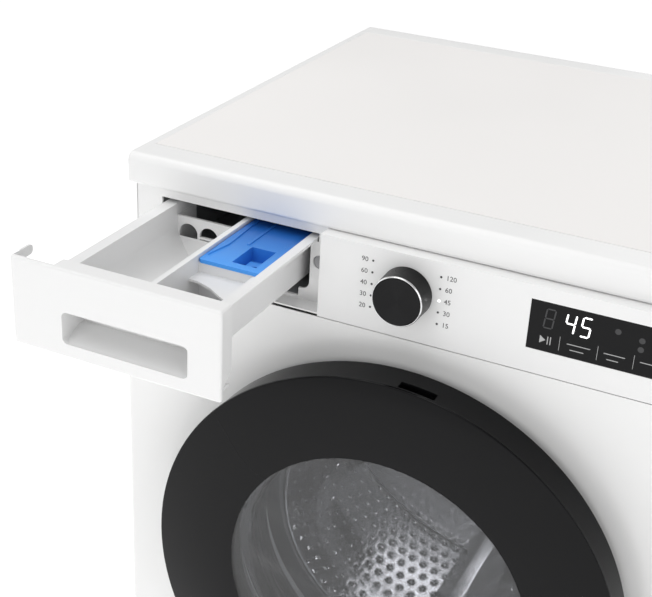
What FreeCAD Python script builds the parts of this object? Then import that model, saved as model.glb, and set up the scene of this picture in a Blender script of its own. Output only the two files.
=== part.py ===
"""Front load washing machine, in millimetres, standing on the floor at Z = 0.

The origin is the middle of the footprint: +X to the right, +Y to the back, +Z up.
The detergent drawer is drawn pulled out and the door shut.
"""
import FreeCAD, Part
import math
import os
import re
import Sketcher

Vector = FreeCAD.Vector

DIMENSIONS = {
    # the box of the machine
    "half_width": 300, "body_half": 298.5, "front": -285, "back": 285, "top": 850,
    "skin": 1.2, "corner": 6, "seam": 0.8, "floor_gap": 19, "shell_top": 820,
    "fold_back": -262, "shell_back": 271,
    # worktop: a rim with an inset board
    "top_front": -273, "board_front": -238, "board_back": 256, "board_half": 291,
    "board_thick": 12, "rim_land": 10, "top_edge": 8,
    # control fascia and the recess for the drawer
    "fascia_low": 739, "fascia_high": 819.8, "wall": 2.5, "recess_left": -293,
    "recess_right": -91.7, "recess_face": -267, "sill": 742.2,
    "slot_left": -264, "slot_right": -109.5, "slot_low": 753, "slot_high": 811,
    "slot_corner": 8, "notch_right": -101.5, "notch_low": 803, "notch_left": -266,
    "boss_x": -100, "boss_z": 783, "boss_r": 6.5,
    # drawer, measured closed and then pulled out
    "drawer_out": 171, "drawer_left": -295.5, "drawer_right": -93.4, "drawer_low": 735.4,
    "drawer_high": 817.4, "drawer_deep": 17, "plate": 4, "drawer_edge": 2.5,
    "grip_left": -245, "grip_right": -124, "grip_low": 748.5, "grip_high": 778,
    "grip_deep": 30, "grip_wall": 2.5, "grip_rise": 8,
    "tray_left": -250, "tray_right": -118, "tray_low": 757, "tray_high": 807,
    "tray_wall": 2.6, "tray_back": -60, "rail_left": -262, "rail_right": -103,
    "shelf_z": 800, "shelf_right": -112, "divider": -177, "divider_wide": 5, "baffle": -94,
    "ledge_z": 791, "box_front": -183,
    # siphon cap of the drawer
    "cap_left": -174, "cap_right": -112.6, "cap_front": -184.5, "cap_back": -72,
    "cap_thick": 4, "well_left": -146, "well_right": -122.5, "well_front": -175.5,
    "well_back": -139, "well_deep": 11,
    # knob, lamps and display window
    "knob_x": -8, "knob_z": 784.5, "knob_r": 23.5, "knob_front": -307.5, "knob_gap": 0.6,
    "spindle_r": 3, "running": 0.05, "lamp_left": -40.8, "lamp_right": 22.2,
    "lamp_pitch": 11.2, "lamp_r": 1, "window_left": 102, "window_right": 262,
    "window_low": 761.6, "window_high": 807.2,
    # the axis of the drum, the door and its opening
    "axis_z": 482.2, "dish_r": 252, "dish_deep": 4.5, "dish_floor_r": 239,
    "mouth_r": 174, "neck_back": -258,
    "glass_r": 232.3, "glass_front": -328.7, "glass_thick": 4, "rim_r": 230.5,
    "rim_back": -291.5,
    "bowl_end_r": 112, "bowl_back": -214, "glass_wall": 5,
    "hinge_x": -224, "hinge_y": -307, "hinge_half": 50, "hinge_r": 4,
    "hook_x": 198, "hook_y": -298,
    # tub, drum and shaft
    "tub_r": 266, "tub_wall": 4, "tub_front": -222, "tub_seam": -8, "tub_back": 173,
    "flange_r": 274, "tub_neck_r": 178, "tub_neck": -244,
    "drum_r": 247, "drum_skin": 2, "drum_front": -210, "drum_back": 106,
    "drum_mouth_r": 152, "shaft_r": 14.95, "shaft_end_r": 12.45, "seal_front": 132,
    "bearing_front": 142, "bearing_back": 184,
    # dampers and springs
    "damper_y": 75, "damper_foot_x": 190, "damper_foot_z": 62, "damper_head_x": 130,
    "damper_head_z": 230, "damper_r": 14, "piston_r": 10, "piston_gap": 0.6,
    "spring_y": 20, "spring_low_x": 228, "spring_low_z": 642, "spring_high_x": 262,
    "spring_high_z": 786, "spring_r": 13, "spring_wire": 3,
    # lower front: drain pump, its filter and flap
    "flap_left": -270, "flap_right": -166, "flap_low": 45, "flap_high": 135,
    "flap_gap": 0.8, "filter_x": -218, "filter_z": 92, "filter_r": 31,
    # feet
    "foot_x": 252, "foot_y": 232, "foot_r": 21, "foot_pad": 12, "stem_r": 5,
}

doc = FreeCAD.newDocument("washing_machine")
sheet = doc.addObject("Spreadsheet::Sheet", "dims")
for row, (word, value) in enumerate(DIMENSIONS.items(), start=1):
    sheet.set(f"A{row}", word)
    sheet.set(f"B{row}", str(value))
    sheet.setAlias(f"B{row}", word)
doc.recompute()

TURN_TO = {"x": FreeCAD.Rotation(Vector(0, 1, 0), 90), "y": FreeCAD.Rotation(Vector(1, 0, 0), -90),
           "z": FreeCAD.Rotation()}
CYCLE_TO = {"x": FreeCAD.Rotation(Vector(1, 1, 1), 120), "y": FreeCAD.Rotation(Vector(1, 1, 1), 240),
            "z": FreeCAD.Rotation()}
sub_parts = []


def about_y(angle):
    """A turn about the Y axis, in degrees."""
    return FreeCAD.Rotation(Vector(0, 1, 0), angle)


def formula(words):
    """An expression over the sheet, from words such as 'top - seam'."""
    return re.sub(r"[a-z_]{2,}", lambda found: "dims." + found.group()
                  if found.group() in DIMENSIONS else found.group(), str(words))


def place(item, point, rotation=None):
    """Bind an object's place to three expressions."""
    if rotation is not None:
        item.Placement.Rotation = rotation
    for axis, value in zip("xyz", point):
        item.setExpression(f"Placement.Base.{axis}", formula(value))
    return item


def keep(item, label):
    """Name an object as one of the machine's sub-parts."""
    item.Label = label
    sub_parts.append(item)
    return item


def block(low, high):
    """A straight-sided block between two corners."""
    item = place(doc.addObject("Part::Box", "block"), low)
    for side, start, end in zip(("Length", "Width", "Height"), low, high):
        item.setExpression(side, formula(f"({end}) - ({start})"))
    return item


def rounded(item, axis, radius, test=lambda middle: True):
    """Round the straight edges of an object that run along one axis."""
    doc.recompute()
    picked = []
    for number, edge in enumerate(item.Shape.Edges, start=1):
        along = edge.tangentAt(edge.FirstParameter)
        if edge.Curve.TypeId == "Part::GeomLine" and abs(getattr(along, axis)) > 0.999:
            if test(edge.CenterOfMass):
                picked.append((number, radius, radius))
    fillet = doc.addObject("Part::Fillet", "rounded")
    fillet.Base = item
    fillet.Edges = picked
    return fillet


def rod(axis, start, radius, length):
    """A round bar that runs from a point along one axis."""
    item = place(doc.addObject("Part::Cylinder", "rod"), start, TURN_TO[axis])
    item.setExpression("Radius", formula(radius))
    item.setExpression("Height", formula(length))
    return item


def cone(axis, start, radius, end_radius, length):
    """A tapered round bar that runs from a point along one axis."""
    item = place(doc.addObject("Part::Cone", "cone"), start, TURN_TO[axis])
    item.setExpression("Radius1", formula(radius))
    item.setExpression("Radius2", formula(end_radius))
    item.setExpression("Height", formula(length))
    return item


def join(*pieces):
    """Several solids made one."""
    item = doc.addObject("Part::MultiFuse", "join")
    item.Shapes = list(pieces)
    return item


def group(*pieces):
    """Several separate solids kept side by side in one object."""
    item = doc.addObject("Part::Compound", "group")
    item.Links = list(pieces)
    return item


def carve(base, *tools):
    """A solid with other solids cut out of it."""
    item = doc.addObject("Part::Cut", "carve")
    item.Base = base
    item.Tool = tools[0] if len(tools) == 1 else join(*tools)
    return item


def outline(body, points):
    """A closed sketch of straight lines on the body's XY plane, bound to the sheet."""
    sketch = body.newObject("Sketcher::SketchObject", "outline")
    plane = next(item for item in body.Origin.OriginFeatures if item.Role == "XY_Plane")
    sketch.AttachmentSupport = [(plane, "")]
    sketch.MapMode = "FlatFace"
    count = len(points)
    start = [Vector(100 * math.cos(math.tau * i / count), 100 * math.sin(math.tau * i / count))
             for i in range(count)]
    for i in range(count):
        sketch.addGeometry(Part.LineSegment(start[i], start[(i + 1) % count]), False)
    for i in range(count):
        sketch.addConstraint(Sketcher.Constraint("Coincident", i, 2, (i + 1) % count, 1))
    for i, point in enumerate(points):
        for kind, value in zip(("DistanceX", "DistanceY"), point):
            number = sketch.addConstraint(Sketcher.Constraint(kind, -1, 1, i, 1, 10))
            sketch.setExpression(f"Constraints[{number}]", formula(value))
    return sketch


def lathe(points, centre=("0", "0", "axis_z"), angle=360, turn=0):
    """A turned piece about a line along Y: its outline is in (radius, Y)."""
    body = doc.addObject("PartDesign::Body", "turned")
    sketch = outline(body, points)
    feature = body.newObject("PartDesign::Revolution", "revolution")
    feature.Profile = sketch
    feature.ReferenceAxis = (sketch, ["V_Axis"])
    feature.Angle = angle
    return place(body, centre, about_y(turn))


def extrude(axis, points, start, length):
    """A flat outline given a length along one axis; the other two axes are its plane."""
    body = doc.addObject("PartDesign::Body", "extruded")
    if axis == "y":
        points = [(up, across) for across, up in points]
    sketch = outline(body, points)
    feature = body.newObject("PartDesign::Pad", "pad")
    feature.Profile = sketch
    feature.setExpression("Length", formula(length))
    spot = {"x": (start, 0, 0), "y": (0, start, 0), "z": (0, 0, start)}[axis]
    return place(body, spot, CYCLE_TO[axis])


def tilted(item, point, lean):
    """Turn an object about a line along Y through a point, by an angle from upright."""
    return place(item, point, about_y(lean))


# Cabinet: one folded steel wrap of two sides and a back, open at the front.
def cabinet_shell():
    wrap = carve(
        block(("-body_half", "fold_back + seam", "floor_gap"), ("body_half", "shell_back", "shell_top")),
        block(("skin - body_half", "fold_back - 5", "floor_gap - 5"),
              ("body_half - skin", "shell_back - skin", "shell_top + 5")))
    left_fold = block(("-body_half", "fold_back + seam", "floor_gap"),
                      ("20 - body_half", "fold_back + seam + skin", "fascia_low - 3"))
    right_fold = block(("body_half - 20", "fold_back + seam", "floor_gap"),
                       ("body_half", "fold_back + seam + skin", "fascia_low - 3"))
    pressings = []
    hollows = []
    for low, high in (("-body_half", "-body_half + 3"), ("body_half - 3", "body_half")):
        pressings.append(rounded(block((low, -190, 92), (high, 205, 758)), "x", 34))
    hollows.append(rounded(block(("-body_half - 1", -188, 94), ("1.8 - body_half", 203, 756)), "x", 32))
    hollows.append(rounded(block(("body_half - 1.8", -188, 94), ("body_half + 1", 203, 756)), "x", 32))
    service = rounded(block((-180, "shell_back - 5", 190), (180, "shell_back + 5", 680)), "y", 40)
    valve_hole = rod("y", (170, "shell_back - 5", 765), 15, 10)
    gland_hole = rod("y", (240, "shell_back - 5", 700), 8, 10)
    drain_hole = rod("y", (-245, "shell_back - 5", 720), 12.5, 10)
    bolt_holes = [rod("y", (x, "shell_back - 5", z), 11, 10) for x in (-235, 235) for z in (250, 620)]
    body = carve(join(wrap, left_fold, right_fold, *pressings), *hollows, service, valve_hole,
                 gland_hole, drain_hole, *bolt_holes)
    return keep(body, "cabinet_shell")



# Back: a pressed cover over the service opening, domed behind the motor.
def rear_cover():
    dome_centre = (0, "shell_back", "axis_z - 20")
    plate = rounded(block((-192, "shell_back", 178), (192, "shell_back + skin", 692)), "y", 46)
    dome = cone("y", dome_centre, 176, 162, 14)
    inside = cone("y", (0, "shell_back - 1", "axis_z - 20"), "177 - skin", "163 - skin", "15 - skin")
    vents = [rounded(block((x - 24, "shell_back - 5", z), (x + 24, "back", z + 5)), "y", 2.4)
             for x in (-110, 0, 110) for z in (206, 218, 230, 242)]
    return keep(carve(join(plate, dome), inside, *vents), "rear_cover")


# Front: a white steel panel with folded sides and a shallow dish round the door.
def front_panel():
    top = "fascia_low - seam"
    outer = rounded(block(("-body_half", "front", "floor_gap"), ("body_half", "fold_back", top)), "z",
                    DIMENSIONS["corner"], lambda middle: middle.y < DIMENSIONS["front"] + 1)
    inner = rounded(block(("skin - body_half", "front + skin", "floor_gap - 5"),
                          ("body_half - skin", "fold_back + 5", top + " + 5")), "z",
                    DIMENSIONS["corner"] - DIMENSIONS["skin"],
                    lambda middle: middle.y < DIMENSIONS["front"] + 3)
    hole = rod("y", (0, "front - 5", "axis_z"), "dish_r", 30)
    flap_hole = rounded(block(("flap_left - flap_gap", "front - 5", "flap_low - 2.2 * flap_gap"),
                              ("flap_right + flap_gap", "front + 10", "flap_high + flap_gap")), "y", 5)
    deep = "front + dish_deep"
    dish = lathe([("dish_r + 1", "front"), ("dish_r", "front"), ("dish_floor_r", deep),
                  ("mouth_r + 4", deep), ("mouth_r", deep + " + 4"), ("mouth_r", "neck_back"),
                  ("mouth_r + skin", "neck_back"), ("mouth_r + skin", deep + " + 4.5"),
                  ("mouth_r + 4.5", deep + " + skin"), ("dish_floor_r + 0.2", deep + " + skin"),
                  ("dish_r + 0.2", "front + skin"), ("dish_r + 1", "front + skin")])
    hinge_slot = rounded(block(("hinge_x - 11", "front", "axis_z - hinge_half - 9"),
                               ("hinge_x + 27", "front + 12", "axis_z + hinge_half + 9")), "y", 4)
    lock_slot = rounded(block(("hook_x - 8", "front", "axis_z - 15"),
                              ("hook_x + 8", "front + 12", "axis_z + 15")), "y", 3)
    return keep(carve(join(carve(outer, inner, hole, flap_hole), dish), hinge_slot, lock_slot),
                "front_panel")


# Base: a steel pan that carries the feet, the dampers and the pump.
def base_frame():
    outer = block(("4 - body_half", "fold_back + 4", "floor_gap + 0.5"),
                  ("body_half - 4", "shell_back - 2", 54))
    inner = block(("6 - body_half", "fold_back + 6", "floor_gap + 2.5"),
                  ("body_half - 6", "shell_back - 4", 60))
    floor_hole = rounded(block((-120, -60, 15), (120, 190, 30)), "z", 40)
    stems = [rod("z", (f"{x} * foot_x", f"{y} * foot_y", 10), "stem_r + 0.2", 30)
             for x in (-1, 1) for y in (-1, 1)]
    brackets = []
    for side in (-1, 1):
        foot = f"{side} * damper_foot_x"
        for offset in (-19, 15):
            brackets.append(block((foot + " - 12", f"damper_y + {offset}", "floor_gap + 2"),
                                  (foot + " + 12", f"damper_y + {offset + 4}", "damper_foot_z + 10")))
        brackets.append(rod("y", (foot, "damper_y - 18", "damper_foot_z"), 4, 36))
    return keep(join(carve(outer, inner, floor_hole, *stems), *brackets), "base_frame")


# Cross member between the two sides, which the springs hang from.
def top_brace():
    channel = block(("skin - body_half", 6, 789), ("body_half - skin", 34, 817))
    hollow = block(("-body_half", 8, 791), ("body_half", 32, 820))
    slots = [block((x - 6, 12, 780), (x + 6, 28, 800)) for x in (-262, 262)]
    bars = [rod("x", (x - 8, 20, 790), 1.6, 16) for x in (-262, 262)]
    return keep(join(carve(channel, hollow, *slots), *bars), "top_brace")


# Worktop: a moulded white rim with a rounded front edge, and a laminated board let into it.
def worktop():
    rim = rounded(block(("-half_width", "top_front", "shell_top"), ("half_width", "back", "top")), "x",
                  DIMENSIONS["top_edge"], lambda middle: middle.y < 0 and middle.z > 849)
    rim = rounded(rim, "x", 4, lambda middle: middle.y < 0 and middle.z < 821)
    pocket = block(("-board_half", "board_front", "top - board_thick"),
                   ("board_half", "board_back", "top + 5"))
    under = block(("rim_land - board_half", "board_front + rim_land", "shell_top - 5"),
                  ("board_half - rim_land", "board_back - rim_land", "top"))
    keep(carve(rim, pocket, under), "worktop_rim")
    keep(block(("0.1 - board_half", "board_front + 0.1", "top - board_thick"),
               ("board_half - 0.1", "board_back - 0.1", "top - 0.1")), "worktop_board")


# Control fascia: one white moulding, hollow behind, with the recess that the drawer closes into.
def control_fascia():
    corner = DIMENSIONS["corner"]
    outer = rounded(block(("-body_half", "front", "fascia_low"), ("body_half", "fold_back", "fascia_high")),
                    "z", corner, lambda middle: middle.y < DIMENSIONS["front"] + 1)
    inner = block(("wall - body_half", "front + wall", "fascia_low + wall"),
                  ("body_half - wall", "fold_back + 5", "fascia_high - wall"))
    pocket = block(("recess_left", "front + 1", "fascia_low"),
                   ("recess_right + wall", "recess_face + wall", "fascia_high"))
    recess = rounded(block(("-half_width - 10", "front - 5", "sill"),
                           ("recess_right", "recess_face", "top")), "y", 1.5,
                     lambda middle: middle.x > -100 and middle.z < 745)
    open_end = block(("-half_width - 10", "recess_face - 5", "sill"), ("recess_left", "fold_back + 5", "top"))
    below_sill = block(("-half_width", "front - 5", "fascia_low - 5"),
                       ("recess_right", "front + 3", "sill - 1.2"))
    grip_slot = block(("grip_left - grip_wall - 1.5", "recess_face - 5", "grip_low - grip_wall - 1"),
                      ("grip_right + grip_wall + 1.5", "fold_back + 5", "slot_low + 10"))
    slot = rounded(block(("slot_left", "recess_face - 5", "slot_low"),
                         ("slot_right", "fold_back + 5", "slot_high")), "y",
                   DIMENSIONS["slot_corner"], lambda middle: middle.z < 760)
    notch = block(("notch_left", "recess_face - 5", "notch_low"),
                  ("notch_right", "fold_back + 5", "slot_high"))
    boss = rod("y", ("boss_x", "recess_face - 2", "boss_z"), "boss_r", 5)
    spindle = rod("y", ("knob_x", "front - 5", "knob_z"), "spindle_r + 1", 20)
    window = block(("window_left", "front - 5", "window_low"), ("window_right", "front + 5", "window_high"))
    lamps = [rod("y", (x, "front - 5", f"knob_z - 0.5 + {step} * lamp_pitch"), "lamp_r", 12)
             for x in ("lamp_left", "lamp_right") for step in (-2, -1, 0, 1, 2)]
    shell = join(carve(outer, inner), pocket)
    return keep(carve(shell, recess, open_end, below_sill, slot, grip_slot, notch, boss, spindle, window,
                      *lamps),
                "control_fascia")


# Controls: the touch display window and its board, the lamp pins and the program selector.
def controls():
    keep(block(("window_left", "front", "window_low"), ("window_right", "front + 2.4", "window_high")),
         "display_window")
    board = block(("window_left - 8", "front + 5", 752), ("window_right + 8", "front + 6.6", 814))
    module = block(("window_left + 4", "front + 2.5", 764), ("window_right - 4", "front + 5", 805))
    keep(join(board, module), "display_board")
    pins = [rod("y", (x, "front - 0.2", f"knob_z - 0.5 + {step} * lamp_pitch"), "lamp_r", 5)
            for x in ("lamp_left", "lamp_right") for step in (-2, -1, 0, 1, 2)]
    keep(group(*pins), "program_lamps")
    body = rounded(block(("knob_x - 13", "front + 3", "knob_z - 13"), ("knob_x + 13", -266, "knob_z + 13")),
                   "y", 3)
    spindle = rod("y", ("knob_x", "knob_front + 4", "knob_z"), "spindle_r", "front - knob_front + 6")
    keep(join(body, spindle), "program_selector")


# Knob: a spun black skirt with a silver line round its face; it turns on the selector's spindle.
def program_knob():
    centre = ("knob_x", 0, "knob_z")
    back = "front - knob_gap"
    bore = "spindle_r + running"
    keep(lathe([(0, "knob_front"), ("knob_r - 1.6", "knob_front"), ("knob_r - 1.6", "knob_front + 1.2"),
                ("knob_r - 0.3", "knob_front + 1.2"), ("knob_r + 0.4", back), ("knob_r - 2.4", back),
                ("knob_r - 2.8", "knob_front + 3.2"), (6.5, "knob_front + 3.2"), (6.5, "front - 3"),
                (bore, "front - 3"), (bore, "knob_front + 3.5"), (0, "knob_front + 3.5")], centre),
         "knob_body")
    keep(lathe([("knob_r - 1.6", "knob_front - 0.2"), ("knob_r - 0.7", "knob_front - 0.2"),
                ("knob_r - 0.3", "knob_front + 0.3"), ("knob_r - 0.3", "knob_front + 1.2"),
                ("knob_r - 1.6", "knob_front + 1.2")], centre), "knob_ring")


# Dispenser: the box behind the fascia that the tray slides into and that floods it with water.
def dispenser_housing():
    outer = block((-275, -264.3, 742), (-95, -30, 815.4))
    inner = block((-272.5, -270, 744.5), (-97.5, -32.5, 812.9))
    outlet = rod("z", (-185, -56, 728), 16, 19)
    outlet_bore = rod("z", (-185, -56, 720), 13, 35)
    inlet = rod("y", (-185, -31, 778), 5, 17)
    inlet_bore = rod("y", (-185, -40, 778), 3.5, 30)
    keep(carve(join(outer, outlet, inlet), inner, outlet_bore, inlet_bore), "dispenser_housing")


# Drawer front: a deep plate that closes flush with the fascia, with a finger recess.
def drawer_front():
    back = "front + drawer_deep"
    edge = DIMENSIONS["drawer_edge"]
    at_front = lambda middle: middle.y < DIMENSIONS["front"] + 1
    outer = block(("drawer_left", "front", "drawer_low"), ("drawer_right", back, "drawer_high"))
    outer = rounded(rounded(outer, "z", edge, at_front), "x", edge, at_front)
    inner = block(("drawer_left + 2.5", "front + plate", "sill + 3"),
                  ("drawer_right - 2.5", back + " + 5", "drawer_high - 3"))
    open_top = block(("drawer_left + 2.5", "front + plate", "drawer_high - 5"),
                     ("tray_left - 3", back + " + 5", "drawer_high + 5"))
    below = block(("drawer_left - 1", "front + plate - 0.2", "drawer_low - 1"),
                  ("drawer_right + 1", back + " + 5", "sill + 0.6"))
    relief = extrude("x", [("front + 22", 764), ("front + 2.8", 747), ("front + 2.8", 730),
                           ("front + 22", 730)], "drawer_left - 5", 220)
    keep_middle = block(("drawer_left + 2.5", "front", 735), ("drawer_right - 2.5", "front + 40", 770))
    tab = rounded(block(("drawer_left", back + " - 3", "drawer_high - 9"),
                        ("drawer_left + 2.5", "front + 29", "drawer_high")), "x", 4,
                  lambda middle: middle.y > -260)
    pocket = rounded(block(("grip_left - grip_wall", "front + 1", "grip_low - grip_wall"),
                           ("grip_right + grip_wall", "front + grip_deep + grip_wall", 796)), "y", 5)
    hollow = rounded(block(("grip_left", "front + plate", "grip_low"),
                           ("grip_right", "front + grip_deep", 793.5)), "y", 4)
    mouth = rounded(block(("grip_left", "front - 5", "grip_low"), ("grip_right", "front + plate + 1",
                                                                   "grip_high")), "y", 5)
    slope = extrude("x", [("front + plate", "grip_low - 1"), ("front + grip_deep + 1", "grip_low - 1"),
                          ("front + grip_deep + 1", "grip_low + grip_rise"),
                          ("front + grip_deep - 5", "grip_low + grip_rise"),
                          ("front + plate", "grip_low")], "grip_left - 1", "grip_right - grip_left + 2")
    shell = join(carve(outer, inner, open_top, below, carve(relief, keep_middle)), tab, pocket)
    front = join(carve(shell, hollow, mouth), slope)
    keep(place(front, (0, "-drawer_out", 0)), "drawer_front")


# Drawer tray: the white moulding with a main wash bay, a baffle of arches and a softener bay.
def drawer_tray():
    front = "front + drawer_deep"
    inside = "tray_low + tray_wall"
    outer = rounded(block(("tray_left - 3", front, "tray_low"), ("tray_right", "tray_back", "shelf_z")),
                    "y", 7, lambda middle: middle.z < 760)
    rails = block(("rail_left", front, "tray_high - 3"), ("rail_right", "tray_back", "tray_high"))
    brim = block(("tray_left - 3", front, "shelf_z - 2.5"), ("shelf_right + 1.5", "tray_back", "tray_high"))
    head = block(("tray_left - 3", front, "shelf_z"), ("shelf_right + 1.5", front + " + 5", "slot_high - 1"))
    main_bay = rounded(block(("tray_left", front + " + 2.6", inside),
                             ("divider - divider_wide / 2", "baffle", 830)), "x", 5,
                       lambda middle: middle.z < 765)
    rear_bay = block(("tray_left", "baffle + 3", inside),
                     ("divider - divider_wide / 2", "tray_back + 5", 830))
    side_bay = block(("divider + divider_wide / 2", front + " + 2.6", inside),
                     ("tray_right - tray_wall", "box_front", "shelf_z + 1"))
    cap_bay = block(("divider + divider_wide / 2", "box_front + 3", inside),
                    ("tray_right - tray_wall", "tray_back - 3", "shelf_z + 1"))
    cap_seat = block(("divider + divider_wide / 2", front + " + 5", "shelf_z"),
                     ("shelf_right", "tray_back + 5", 830))
    low_baffle = block(("tray_left - 1", "baffle - 1", "tray_high - 12"),
                       ("divider - divider_wide / 2", "tray_back + 5", 830))
    arches = []
    for centre in (-238.5, -216.5, -194.5):
        arches.append(rod("y", (centre, "baffle - 5", 778.5), 9.8, 15))
        arches.append(block((centre - 9.8, "baffle - 5", inside), (centre + 9.8, "baffle + 5", 778.5)))
    bars = [block((centre - 11, "baffle", 775.5), (centre + 11, "baffle + 3", 777.5))
            for centre in (-216.5, -194.5)]
    ramp = extrude("z", [("divider + 2", -200), ("divider + 2", "box_front + 1"),
                         ("tray_right - 1", "box_front + 1"), ("tray_right - 1", -224), (-135, -216),
                         (-150, -206), (-165, -200.5)], "ledge_z - 2.2", 2.2)
    pocket = block(("grip_left - 4", front + " - 1", "tray_low - 1"),
                   ("grip_right + 4", "front + grip_deep + grip_wall + 0.3", 796.4))
    pocket_wall = rounded(block(("grip_left - 4 - tray_wall", front, "tray_low"),
                                ("grip_right + 4", "front + grip_deep + grip_wall + 0.3 + tray_wall", 799)),
                          "x", 6, lambda middle: middle.z > 790 and middle.y > -260)
    cavities = carve(join(main_bay, side_bay), pocket_wall)
    tray = join(carve(join(outer, rails, brim, head), cavities, rear_bay, cap_bay, cap_seat, low_baffle,
                      pocket, *arches), *bars, ramp)
    keep(place(tray, (0, "-drawer_out", 0)), "drawer_tray")


# Siphon cap: the blue lid of the softener bay, which lifts out for cleaning.
def siphon_cap():
    low = "shelf_z + 0.2"
    high = "shelf_z + cap_thick"
    plate = rounded(block(("cap_left", "cap_front", low), ("cap_right", "cap_back", high)), "z", 3)
    well = block(("well_left - 1.5", "well_front - 1.5", "shelf_z - well_deep"),
                 ("well_right + 1.5", "well_back + 1.5", high))
    well_hollow = block(("well_left", "well_front", "shelf_z - well_deep + 1.5"),
                        ("well_right", "well_back", "shelf_z + 20"))
    step = block((-141, "well_front", "shelf_z - well_deep + 1"), ("well_right", -151, "shelf_z - 4"))
    drain = rod("z", (-131, -164, 770), 5.5, 60)
    siphon = carve(rod("z", (-131, -164, 763), 7.5, 30), rod("z", (-131, -164, 755), 5.5, 50))
    fin = extrude("z", [(-170.5, -174), (-165, -146), (-168, -80), (-172, -80), (-172, -150)],
                  "shelf_z + cap_thick - 1", 2.4)
    rib = block((-152, -138, "shelf_z + cap_thick - 1"), (-149.5, "cap_back + 3", "shelf_z + cap_thick + 1.2"))
    cap = carve(join(carve(join(plate, well), well_hollow), step), drain)
    keep(place(join(cap, siphon, fin, rib), (0, "-drawer_out", 0)), "siphon_cap")


# Door: a printed glass disc over a glossy black rim, with a moulded rear frame and a glass bowl.
def door():
    behind = "glass_front + glass_thick"
    keep(lathe([(0, "glass_front"), ("glass_r - 1.2", "glass_front"), ("glass_r", "glass_front + 1.2"),
                ("glass_r", behind + " - 0.8"), ("glass_r - 0.8", behind), (0, behind)]), "door_glass")
    rim = lathe([(186, behind), ("rim_r - 1", behind), ("rim_r", behind + " + 1"), ("rim_r", "rim_back"),
                 ("rim_r - 3", "rim_back"), ("rim_r - 3", behind + " + 3"), (189, behind + " + 3"),
                 (189, -300), (186, -300)])
    notch = block((5, behind + " - 5", "axis_z + 200"), (39, behind + " + 12.5", "axis_z + 240"))
    hinge_room = block((-245, -320, "axis_z - 62"), (-199, -280, "axis_z + 62"))
    scoop = rounded(block((212.5, -318, "axis_z - 60"), (240, -285, "axis_z + 60")), "x", 8)
    pocket = block((209.5, behind + " + 1", "axis_z - 63"), (212.5, "rim_back", "axis_z + 63"))
    keep(carve(join(rim, pocket), notch, hinge_room, scoop), "door_rim")
    frame = lathe([(177, "rim_back + 0.2"), ("rim_r - 1.5", "rim_back + 0.2"), ("rim_r - 2.5", -288.6),
                   (166, -288.6), (161, -291), (161, -299), (163, -299), (163, -294), (168, -291.3)])
    frame_room = block((-245, -320, "axis_z - 62"), (-211, -280, "axis_z + 62"))
    hook_hole = block(("hook_x - 7", -300, "axis_z - 12"), ("hook_x + 7", -280, "axis_z + 12"))
    grip_room = block((212.5, -300, "axis_z - 60"), (240, -280, "axis_z + 60"))
    keep(carve(frame, frame_room, hook_hole, grip_room), "door_frame")
    keep(lathe([(0, "bowl_back"), (96, "bowl_back"), ("bowl_end_r", "bowl_back + -8"),
                (150, -296), (156, -300), (184, -300), (184, -304.5), (153, -304.5), (145, -298),
                ("bowl_end_r - glass_wall", "bowl_back - 11"), (93, "bowl_back - glass_wall"),
                (0, "bowl_back - glass_wall")]), "door_bowl")
    arm_low = "axis_z - hinge_half + 6.4"
    arm_high = "axis_z + hinge_half - 6.4"
    barrel = rounded(block(("hinge_x - 6.5", "hinge_y - 6.5", arm_low), ("hinge_x + 7", "hinge_y + 9", arm_high)),
                     "z", 4)
    plate = block(("hinge_x + 2", -299.4, "axis_z - 34"), (-176, -291.4, "axis_z + 34"))
    keep(carve(join(barrel, plate), rod("z", ("hinge_x", "hinge_y", "axis_z - 60"), "hinge_r + running", 120)),
         "door_hinge_arm")
    barrel = rod("z", ("hook_x", "hook_y", "axis_z - 9"), 3.5, 18)
    lever = block(("hook_x - 2.5", "hook_y", "axis_z - 4"), ("hook_x + 2.5", -266, "axis_z + 4"))
    claw = block(("hook_x + 2", -271, "axis_z - 4"), ("hook_x + 5.5", -266, "axis_z + 4"))
    keep(join(barrel, lever, claw), "door_hook")


# Hinge and lock: the fixed side of the door's hinge, its pin, and the latch behind the panel.
def door_fittings():
    plate = block(("hinge_x - 9", "front + 1", "axis_z - hinge_half - 7"),
                  ("hinge_x + 25", "front + 4", "axis_z + hinge_half + 7"))
    pieces = [plate]
    for low, high in ((-1, 0), (1, 0)):
        start = f"axis_z + {low} * hinge_half - {3 + 3 * low}"
        pieces.append(rod("z", ("hinge_x", "hinge_y", start), 7.5, 6))
        pieces.append(block(("hinge_x - 0.5", "hinge_y", start), ("hinge_x + 13", "front + 2", start + " + 6")))
    bore = rod("z", ("hinge_x", "hinge_y", "axis_z - 70"), "hinge_r", 140)
    keep(carve(join(*pieces), bore), "hinge_bracket")
    pin = rod("z", ("hinge_x", "hinge_y", "axis_z - hinge_half - 2"), "hinge_r", "2 * hinge_half + 4")
    head = rod("z", ("hinge_x", "hinge_y", "axis_z + hinge_half + 0.2"), 6, 2.5)
    keep(join(pin, head), "hinge_pin")
    case = rounded(block(("hook_x - 10", -279.2, "axis_z - 38"), ("hook_x + 20", -240, "axis_z + 38")), "y", 4)
    slot = block(("hook_x - 7", -285, "axis_z - 10"), ("hook_x + 9", -248, "axis_z + 10"))
    keep(carve(case, slot), "door_lock")
    keep(lathe([(158, -276.6), ("mouth_r - 0.3", -276.6), ("mouth_r - 0.3", -253), (182.4, -249.5),
                (182.4, -229), ("tub_neck_r + 0.3", -229), ("tub_neck_r + 0.3", -246), (170, -250),
                (170, -262), (158, -267)]), "door_gasket")


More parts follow.
